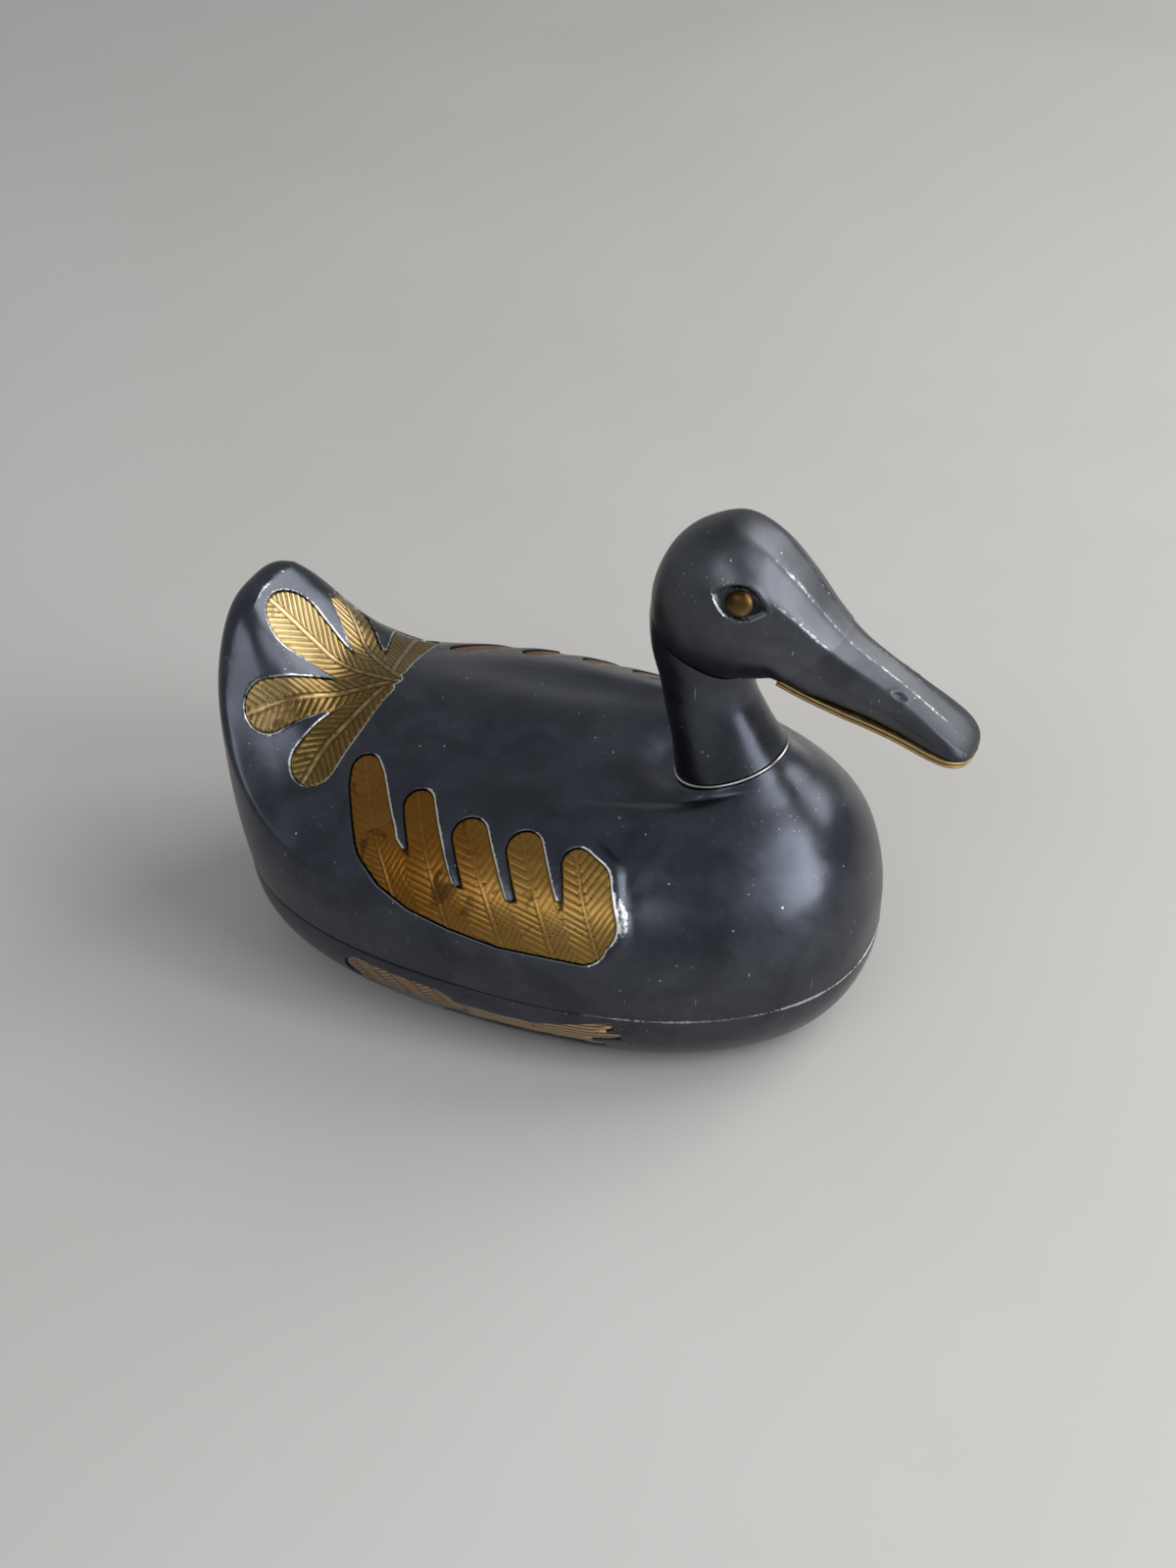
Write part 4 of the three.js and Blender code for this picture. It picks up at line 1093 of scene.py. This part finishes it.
# %% [markdown]
# Inside the seam a plain strip stands up from the bowl and keeps the lid in place. The flat bottom is a
# separate disc let into the bowl. Both are drawn as sheets too: the strip follows the seam a little
# inside it, and the disc shrinks its outline to the middle, where the points are merged.

# %% Locating strip and bottom
RIM_HEIGHT, RIM_SHEET = 6.7, 0.9
BOTTOM_RADIUS, BOTTOM_SHEET, BOTTOM_DISH = 40, 0.6, 0.35


def locating_strip(turn, rise):
    turn, rise = paired(turn, rise)
    inside = bowl(turn, np.ones_like(rise))
    normal = unit(normal_of(plain_lid, turn, np.zeros_like(rise)) * [1, 1, 0])
    point = inside * [1, 1, 0] - normal * (WALL + SEAT)
    point[..., 2] = BASE_DEPTH - RIM_DROP + rise * RIM_HEIGHT
    return point


bm, place = grid_sheet(200, 8)
move_to(bm, locating_strip(place[:, 0], place[:, 1]))
write_layer(bm, "edge", edge_wear((1 - place[:, 1]) * RIM_HEIGHT))
close_seam(bm)
give_wall(bm, normal_of(locating_strip, *place.T), RIM_SHEET)
add_piece(bm, "locating_strip", [LINING_PEWTER], "base", ["locating_rim"])


def bottom_disc(turn, share):
    outline = bowl(turn, np.zeros_like(turn)) * [1, 1, 0]
    size = 1 - GAP / np.linalg.norm(outline, axis=-1)
    dish = BOTTOM_DISH * smooth_step(share, 0.93, 0.8)
    return outline * (size * share)[..., None] + np.stack([0 * dish, 0 * dish, dish], -1)


bm, place = grid_sheet(160, 40, rises=(1, 0))
move_to(bm, bottom_disc(place[:, 0], place[:, 1]))
write_layer(bm, "edge", 0.7 * edge_wear((1 - place[:, 1]) * BOTTOM_RADIUS))
close_seam(bm)
give_wall(bm, np.tile([0.0, 0, -1], (len(place), 1)), BOTTOM_SHEET)
bmesh.ops.recalc_face_normals(bm, faces=bm.faces[:])
add_piece(bm, "bottom_disc", [LINING_PEWTER], "base", ["base_floor"])

# %% [markdown]
# The head is drawn like the body, from upright sections between the nape and the tip of the bill. In the
# photograph its forehead is planished into flat facets with a soft ridge above each eye. A section that
# mixes a round outline with a few flat sides gives those ridges without any extra pieces.

# %% Head surface
NECK_RISE = 49.5
HEAD = np.array([COLLAR[0] - 1, 0, COLLAR[2] + NECK_RISE + LID_FOOT])
HEAD_HALF, CROWN, BILL_HALF, REACH = 17.8, 23, 8.6, 65.7
HEAD_MIDDLE, HEAD_HALF_LENGTH = 22.5, 43.5
# Forward, top, bottom and half width of each section
HEAD_SECTIONS = [
    (-21, -2, -2, 0), (-19.8, 5.5, -9.5, 0.4 * HEAD_HALF), (-16, CROWN - 9.5, -16, 0.71 * HEAD_HALF),
    (-9.5, CROWN - 3.7, -20, 0.91 * HEAD_HALF), (0, CROWN, -21, HEAD_HALF),
    (9, CROWN - 2.5, -19, 0.955 * HEAD_HALF), (17, 13.2, -17, 0.8 * HEAD_HALF),
    (25, 4, -18.2, 0.635 * HEAD_HALF), (32, -2.8, -20, BILL_HALF + 1), (40, -8, -22.2, BILL_HALF),
    (49, -13.5, -25, BILL_HALF), (57, -19, -27.4, BILL_HALF + 0.7), (62, -22.7, -28.8, BILL_HALF),
    (64.8, -25.5, -29.2, BILL_HALF - 3.1), (REACH, -27.5, -28.8, 0)]
head_heights = guide([row[:3] for row in HEAD_SECTIONS])
head_widths = guide([(row[0], row[3], 0) for row in HEAD_SECTIONS])
# Direction of each flat side, from level, and its distance from the middle of the section
FLAT_SIDES = [(90, 0.93), (54, 0.955), (14, 0.955), (-30, 0.97), (-62, 0.98), (-90, 0.97)]
FACET_SHARPNESS = 30


def facet_share(x):
    return smooth_step(x, -6, 14) * (1 - 0.3 * smooth_step(x, 34, 60))


def section_reach(cos, sin, x):
    """How far a section reaches: faceted above, and below fuller towards the bill."""
    square = mix(2.2, 7, np.where(sin < 0, smooth_step(x, 12, 28), 0))
    plain = (np.abs(cos) ** square + np.abs(sin) ** square) ** (-1 / square)
    sides = 0
    for angle, distance in FLAT_SIDES:
        lean = math.radians(angle)
        facing = np.abs(cos) * math.cos(lean) + sin * math.sin(lean)
        sides = sides + np.maximum(0, facing / distance) ** FACET_SHARPNESS
    faceted = sides ** (-1 / FACET_SHARPNESS)
    return mix(plain, faceted, facet_share(x) * smooth_step(sin, -0.5, 0.1))


def head_form(turn, station, inset=0.0):
    turn, station = paired(turn, station)
    x, top, bottom = np.moveaxis(head_heights(station), -1, 0)
    half_width = np.maximum(0, head_widths(station)[..., 1]) * (1 - inset / HEAD_HALF)
    half_height = 0.5 * np.maximum(0, top - bottom) * (1 - inset / CROWN)
    cos, sin = np.cos(2 * np.pi * turn), np.sin(2 * np.pi * turn)
    reach = section_reach(cos, sin, x)
    along = HEAD_MIDDLE + (x - HEAD_MIDDLE) * (1 - inset / HEAD_HALF_LENGTH)
    across, upward = half_width * reach * cos, (top + bottom) / 2 + half_height * reach * sin
    return np.stack([along, across, upward], -1) + HEAD


station_table = np.linspace(0, 1, 600)
forward_table = head_heights(station_table)[:, 0]


def outside_head(points):
    """Roughly how far points lie outside the head, negative inside it."""
    x, y, z = np.moveaxis(points - HEAD, -1, 0)
    station = np.interp(x, forward_table, station_table)
    _, top, bottom = np.moveaxis(head_heights(station), -1, 0)
    across = y / np.maximum(head_widths(station)[..., 1], 0.05)
    upward = (z - (top + bottom) / 2) / np.maximum(0.5 * (top - bottom), 0.05)
    size = np.maximum(np.hypot(across, upward), 1e-6)
    return 12 * (size / section_reach(across / size, upward / size, x) - 1)


print("head from", np.round(head_form(0, 0), 1), "to", np.round(head_form(0, 1), 1))

# %% [markdown]
# The eye sits in an almond-shaped socket that was punched into the cheek, with a raised lid round it. The
# nostrils are two small dents. Both are made by moving the vertices of a fine mesh along its normals.

# %% Sockets and nostrils
EYE_PLACE, NOSTRIL_PLACE = (0.436, 0.337), (0.38, 0.688)
# Half length and half height of each almond, and how far from its plane it still counts
EYE_SOCKET, NOSTRIL, ALMOND_REACH = (7.0, 4.4), (2.0, 0.9), 5
FAR_OUTSIDE = -9


def local_frame(surface, place):
    origin, normal = surface(*place), normal_of(surface, *place)
    along = unit(np.array([1.0, 0, 0]) - normal * normal[0])
    return origin, along, np.cross(normal, along), normal


def almond(points, frame_on_head, half_length, half_height):
    """Distance inside an almond outline, negative outside it; far points count as outside."""
    origin, along, up, normal = frame_on_head
    offset = near_side(points) - origin
    x, y, height = offset @ along, offset @ up, offset @ normal
    slope = 2 * half_height * x / half_length ** 2
    inside = (half_height * (1 - (x / half_length) ** 2) - np.abs(y)) / np.hypot(1, slope)
    past_corner = -np.hypot(np.abs(x) - half_length, y)
    found = np.where(np.abs(x) > half_length, past_corner, inside)
    return np.where(np.abs(height) > ALMOND_REACH, FAR_OUTSIDE, found)


origin, along, up, normal = local_frame(head_form, EYE_PLACE)
LEAN = math.radians(13)
eye_frame = (origin, along * math.cos(LEAN) - up * math.sin(LEAN),
             up * math.cos(LEAN) + along * math.sin(LEAN), normal)
nostril_frame = local_frame(head_form, NOSTRIL_PLACE)


def lower_lid(points):
    """1 along the lower rear edge of the socket, where the lid stands up higher and is painted light, as a
    highlight.
    """
    origin, along, up, _ = eye_frame
    offset = near_side(points) - origin
    return smooth_step(offset @ along, 0, -2.5) * smooth_step(offset @ up, 1, -0.5)


def socket_height(points):
    inside = almond(points, eye_frame, *EYE_SOCKET)
    lid_ridge = mix(0.14, 0.4, lower_lid(points)) * np.exp(-((inside + 0.55) / 0.5) ** 2)
    return lid_ridge - 0.95 * smooth_step(inside, -0.25, 0.55)


def nostril_height(points):
    inside = almond(points, nostril_frame, *NOSTRIL)
    return 0.1 * np.exp(-((inside + 0.5) / 0.5) ** 2) - 0.5 * smooth_step(inside, -0.2, 0.6)


def nostril_soot(points):
    """Below 0 inside a nostril, for the dark that stays in it."""
    return -0.4 * smooth_step(almond(points, nostril_frame, *NOSTRIL), 0.0, 0.6)


def socket_painted_shade(points):
    """Painted shade in the socket: black round the dome, in the front corner and under the upper lid."""
    origin, along, up, _ = eye_frame
    offset = near_side(points) - origin
    forward, above = offset @ along, offset @ up
    black = np.maximum(smooth_step(np.hypot(forward, above), 4.6, 3.8), smooth_step(forward, 2.5, 4.5))
    inside = almond(points, eye_frame, *EYE_SOCKET)
    crease = 0.7 * np.exp(-((inside - 0.1) / 0.3) ** 2) * smooth_step(above, 0, 1.5)
    return -np.maximum(smooth_step(inside, 0.0, 0.6) * mix(0.4, 1, black), crease)


def ridge_wear(points, turn):
    """Wear along the two ridges of the forehead, which end at the bill and near its tip."""
    x = points[:, 0] - HEAD[0]
    angle = np.degrees(np.arcsin(np.sin(2 * np.pi * turn)))
    brow = np.exp(-((angle - 34) / 4) ** 2) * smooth_step(x, -2, 6) * smooth_step(x, 34, 26)
    crown = np.exp(-((angle - 70) / 5) ** 2) * smooth_step(x, 5, 13) * smooth_step(x, 64, 56)
    return 0.85 * np.maximum(brow, crown)


print("eye at", np.round(eye_frame[0], 1), "nostril at", np.round(nostril_frame[0], 1))

# %% [markdown]
# Head and bill are two pieces of one form, so both start from that form and a plane cuts each to its share.
# The cut slants down from the brow, where the real bill was joined on. What hangs below the mouth is lifted
# onto a flat plane, against which the brass leaves lie, and the open ends are filled.

# %% Head and bill
BROW_SLANT, PITCH = math.radians(40.5), math.radians(15)
BROW_POINT, BROW_GAP = HEAD + [32, 0, -0.5], 0.2
BROW_NORMAL = np.array([math.sin(BROW_SLANT), 0, -math.cos(BROW_SLANT)])
MOUTH_START, BILL_INSET = 14, 0.5
MOUTH_POINT = HEAD + [MOUTH_START, 0, -14.6]
MOUTH_NORMAL = np.array([-math.sin(PITCH), 0, -math.cos(PITCH)])


def bisect(bm, point, normal, clear_outer=False, clear_inner=False):
    bmesh.ops.bisect_plane(bm, geom=bm.verts[:] + bm.edges[:] + bm.faces[:], dist=1e-6,
                           plane_co=Vector(point * MM), plane_no=Vector(normal),
                           clear_outer=clear_outer, clear_inner=clear_inner)


def flatten_mouth(bm, start):
    """Lifts what lies below the mouth onto its plane, ahead of a place on the jaw."""
    bisect(bm, MOUTH_POINT, MOUTH_NORMAL)
    for vert in bm.verts:
        x, _, z = np.array(vert.co) / MM
        level = MOUTH_POINT[2] - (x - MOUTH_POINT[0]) * math.tan(PITCH)
        if x > start and z < level:
            vert.co.z = mix(z, level, float(smooth_step(x, start, start + 1.4))) * MM


def cap(bm):
    bmesh.ops.holes_fill(bm, edges=[edge for edge in bm.edges if edge.is_boundary], sides=0)
    bmesh.ops.recalc_face_normals(bm, faces=bm.faces[:])


def head_piece(stations, grid, inset, dents):
    bm, place = grid_sheet(*grid, rises=stations)
    surface = lambda turn, station: head_form(turn, station, inset)
    points = surface(place[:, 0], place[:, 1])
    normal = normal_of(surface, place[:, 0], np.clip(place[:, 1], 0.004, 0.996))
    move_to(bm, points + normal * dents(points)[:, None])
    return bm, points, place[:, 0]


bm, points, turn = head_piece((0, 0.67), (240, 190), 0.0, socket_height)
inside = almond(points, eye_frame, *EYE_SOCKET)
# A painted highlight along the lower rear lid; the socket below gets painted shade
lid_painted_highlight = 1.3 * np.exp(-((inside + 0.3) / 0.45) ** 2) * lower_lid(points)
wear = np.maximum(lid_painted_highlight, ridge_wear(points, turn))
write_layer(bm, "edge", wear + socket_painted_shade(points))
close_seam(bm)
bisect(bm, BROW_POINT, BROW_NORMAL, clear_outer=True)
flatten_mouth(bm, MOUTH_POINT[0] - 0.8)
cap(bm)
add_piece(bm, "head_cap", [HEAD_PEWTER], "lid", ["head_shell"])

bm, points, turn = head_piece((0.36, 1), (160, 220), BILL_INSET, nostril_height)
low = np.abs((points - MOUTH_POINT) @ MOUTH_NORMAL)
wear = np.maximum(ridge_wear(points, turn), 0.6 * edge_wear(low))
write_layer(bm, "edge", wear + nostril_soot(points))
close_seam(bm)
bisect(bm, BROW_POINT - BROW_NORMAL * BROW_GAP, BROW_NORMAL, clear_inner=True)
flatten_mouth(bm, 0)
cap(bm)
add_piece(bm, "bill_upper", [BILL_PEWTER], "lid", ["bill_top"])

# %% [markdown]
# Two thin brass leaves make the lower bill. Each is an outline that follows the bill, filled, extruded to
# the thickness of the sheet and bevelled, because a cut edge that has been handled is never sharp.

# %% Bill leaves
LEAF, LEAF_STEPS, LEAF_BEVEL = 0.8, 360, 0.2
leaf_length, leaf_half = (REACH - MOUTH_START) / math.cos(PITCH) - 0.6, BILL_HALF + 0.6
leaf_side = [(1.2, leaf_half), (9, leaf_half + 0.6), (19, leaf_half + 0.5), (27, leaf_half),
             (leaf_length - 18, leaf_half), (leaf_length - 10, leaf_half + 0.7),
             (leaf_length - 4.6, leaf_half), (leaf_length - 1.2, leaf_half - 3.1)]
leaf_outline = guide([(x, -y, 0) for x, y in leaf_side] + [(leaf_length, 0, 0)]
                     + [(x, y, 0) for x, y in leaf_side[::-1]])
leaf_forward = np.array([math.cos(PITCH), 0, -math.sin(PITCH)])


def bill_leaf(name, node, order):
    bm = bmesh.new()
    top = MOUTH_POINT + MOUTH_NORMAL * ((order + 1) * (GAP + LEAF) - LEAF)
    for x, y, _ in leaf_outline(np.linspace(0, 1, LEAF_STEPS)):
        bm.verts.new((top + leaf_forward * x + np.array([0, y, 0])) * MM)
    face = bmesh.ops.contextual_create(bm, geom=bm.verts[:])["faces"]
    grown = bmesh.ops.extrude_face_region(bm, geom=face)["geom"]
    lower = [item for item in grown if isinstance(item, bmesh.types.BMVert)]
    bmesh.ops.translate(bm, verts=lower, vec=Vector(MOUTH_NORMAL * LEAF * MM))
    bmesh.ops.recalc_face_normals(bm, faces=bm.faces[:])
    rims = [edge for edge in bm.edges if edge.calc_face_angle(0) > 1]
    bmesh.ops.bevel(bm, geom=rims, offset=LEAF_BEVEL * MM, segments=3, profile=0.5, affect="EDGES",
                    material=-1)
    write_layer(bm, "rib_and_painted_light", np.full(len(bm.verts), 0.9))
    add_piece(bm, name, [BILL_BRASS], "lid", [node], 50)


bill_leaf("bill_leaf_upper", "bill_plate", 0)
bill_leaf("bill_leaf_lower", "lower_bill", 1)

# %% [markdown]
# The neck is a tube that leans back from the shoulders and swells into the head. Its top is trimmed where
# it meets the head, which leaves the fine dark line under the cheek that the photograph shows.

# %% Neck
NECK_DIRECTION = np.array([-math.sin(COLLAR_TILT), 0, math.cos(COLLAR_TILT)])
collar_middle = COLLAR + [0, 0, LID_FOOT]
ring_foot = collar_middle + NECK_DIRECTION * GAP
BEAD, NECK_RADIUS, NECK_LENGTH, NECK_KNEE = 0.4, 12.2, 50, 8
neck_foot = ring_foot + NECK_DIRECTION * (2 * BEAD + GAP)
neck_knee = neck_foot + NECK_DIRECTION * NECK_KNEE
# Forward of the collar, more than the neck's radius, and share of its rise
NECK_ROWS = [(-6.3, 0, 0.355), (-8.1, 0, 0.535), (-9.4, 1, 0.717), (-8.8, 1.6, 0.9), (-5.5, 0.6, 1.06)]
neck_line = guide([(neck_foot[0], COLLAR_RADIUS - GAP, neck_foot[2]),
                   (neck_knee[0], NECK_RADIUS + 1.2, neck_knee[2])]
                  + [(COLLAR[0] + x, NECK_RADIUS + more, collar_middle[2] + share * NECK_RISE)
                     for x, more, share in NECK_ROWS])


def neck(turn, rise):
    turn, rise = paired(turn, rise)
    middle = neck_line(rise)
    run = neck_line(np.minimum(rise + 1e-3, 1)) - neck_line(np.maximum(rise - 1e-3, 0))
    lean = unit(run * [1, 0, 1])
    forward, across = (middle[..., 1] * wave(2 * np.pi * turn) for wave in (np.cos, np.sin))
    return np.stack([middle[..., 0] + forward * lean[..., 2], across,
                     middle[..., 2] - forward * lean[..., 0]], -1)


bm, full = grid_sheet(160, 110)
place = trim(bm, full, neck, lambda points: outside_head(points) - 0.25)
write_layer(bm, "edge", 0.7 * edge_wear(place[:, 1] * NECK_LENGTH))
close_seam(bm)
give_wall(bm, normal_of(neck, *full.T), WALL, lining=1)
add_piece(bm, "neck_sheet", [PEWTER, LINING_PEWTER], "lid", ["neck_tube"])

# %% [markdown]
# A thin bright line runs round the foot of the neck, where it was soldered on and filed back. It is a small
# rounded profile that is spun about the axis of the neck.

# %% Solder line
def spun(profile, centre, axis, forward, steps):
    """A profile of distances from an axis and heights along it, spun to a closed solid."""
    bm = bmesh.new()
    verts = [bm.verts.new((centre + forward * r + axis * h) * MM) for r, h in profile]
    edges = [bm.edges.new(pair) for pair in zip(verts, verts[1:])]
    bmesh.ops.spin(bm, geom=verts + edges, cent=Vector(centre * MM), axis=Vector(axis),
                   angle=2 * math.pi, steps=steps, use_merge=True)
    bmesh.ops.remove_doubles(bm, verts=bm.verts[:], dist=0.005 * MM)
    bmesh.ops.recalc_face_normals(bm, faces=bm.faces[:])
    return bm


ring_bore, bead_middle = COLLAR_RADIUS - WALL, COLLAR_RADIUS - 0.15
half_turn = np.linspace(-np.pi / 2, np.pi / 2, 9)
bead = [(bead_middle + BEAD * math.cos(angle), BEAD + BEAD * math.sin(angle)) for angle in half_turn]
bead = [(ring_bore, 0)] + bead + [(ring_bore, 2 * BEAD), (ring_bore, 0)]
bm = spun(bead, ring_foot, NECK_DIRECTION, unit(np.cross([0, 1, 0], NECK_DIRECTION)), 128)
write_layer(bm, "edge", np.full(len(bm.verts), 0.8))
add_piece(bm, "solder_line", [SOLDER], "lid", ["neck_seam_ring"], 60)

# %% [markdown]
# Each eye is a small brass stud that sits in its socket. It is spun as well, about an axis that stands square
# on the cheek. Its rib value grows towards the front and the bottom. This is a painted gradient: painted
# shade on the upper rear of the dome and a painted highlight on its lower front.

# %% Eyes
EYE_RADIUS, EYE_DOME, EYE_FOOT, EYE_FOOT_RADIUS, EYE_DEPTH = 3.4, 1.85, 0.25, 3.3, 0.9
origin, along, up, normal = eye_frame
quarter_turn = np.linspace(0, np.pi / 2, 14)
dome = [(EYE_RADIUS * math.cos(angle), EYE_FOOT + EYE_DOME * math.sin(angle)) for angle in quarter_turn]
dome = [(0, 0), (EYE_FOOT_RADIUS, 0)] + dome
for side, name in ((1, "right"), (-1, "left")):
    flip = np.array([1, side, 1])
    bm = spun(dome, (origin + normal * (GAP - EYE_DEPTH)) * flip, normal * flip, along * flip, 40)
    offset = np.array([vert.co for vert in bm.verts]) / MM * flip - origin
    # Painted shade on the upper rear of the dome, and a painted highlight on its lower front
    write_layer(bm, "rib_and_painted_light", np.clip(0.45 + 0.17 * (offset @ along) - 0.16 * (offset @ up), 0, 1))
    add_piece(bm, "eye_dome_" + name, [EYE_BRASS], "lid", ["eye_" + name], 60)
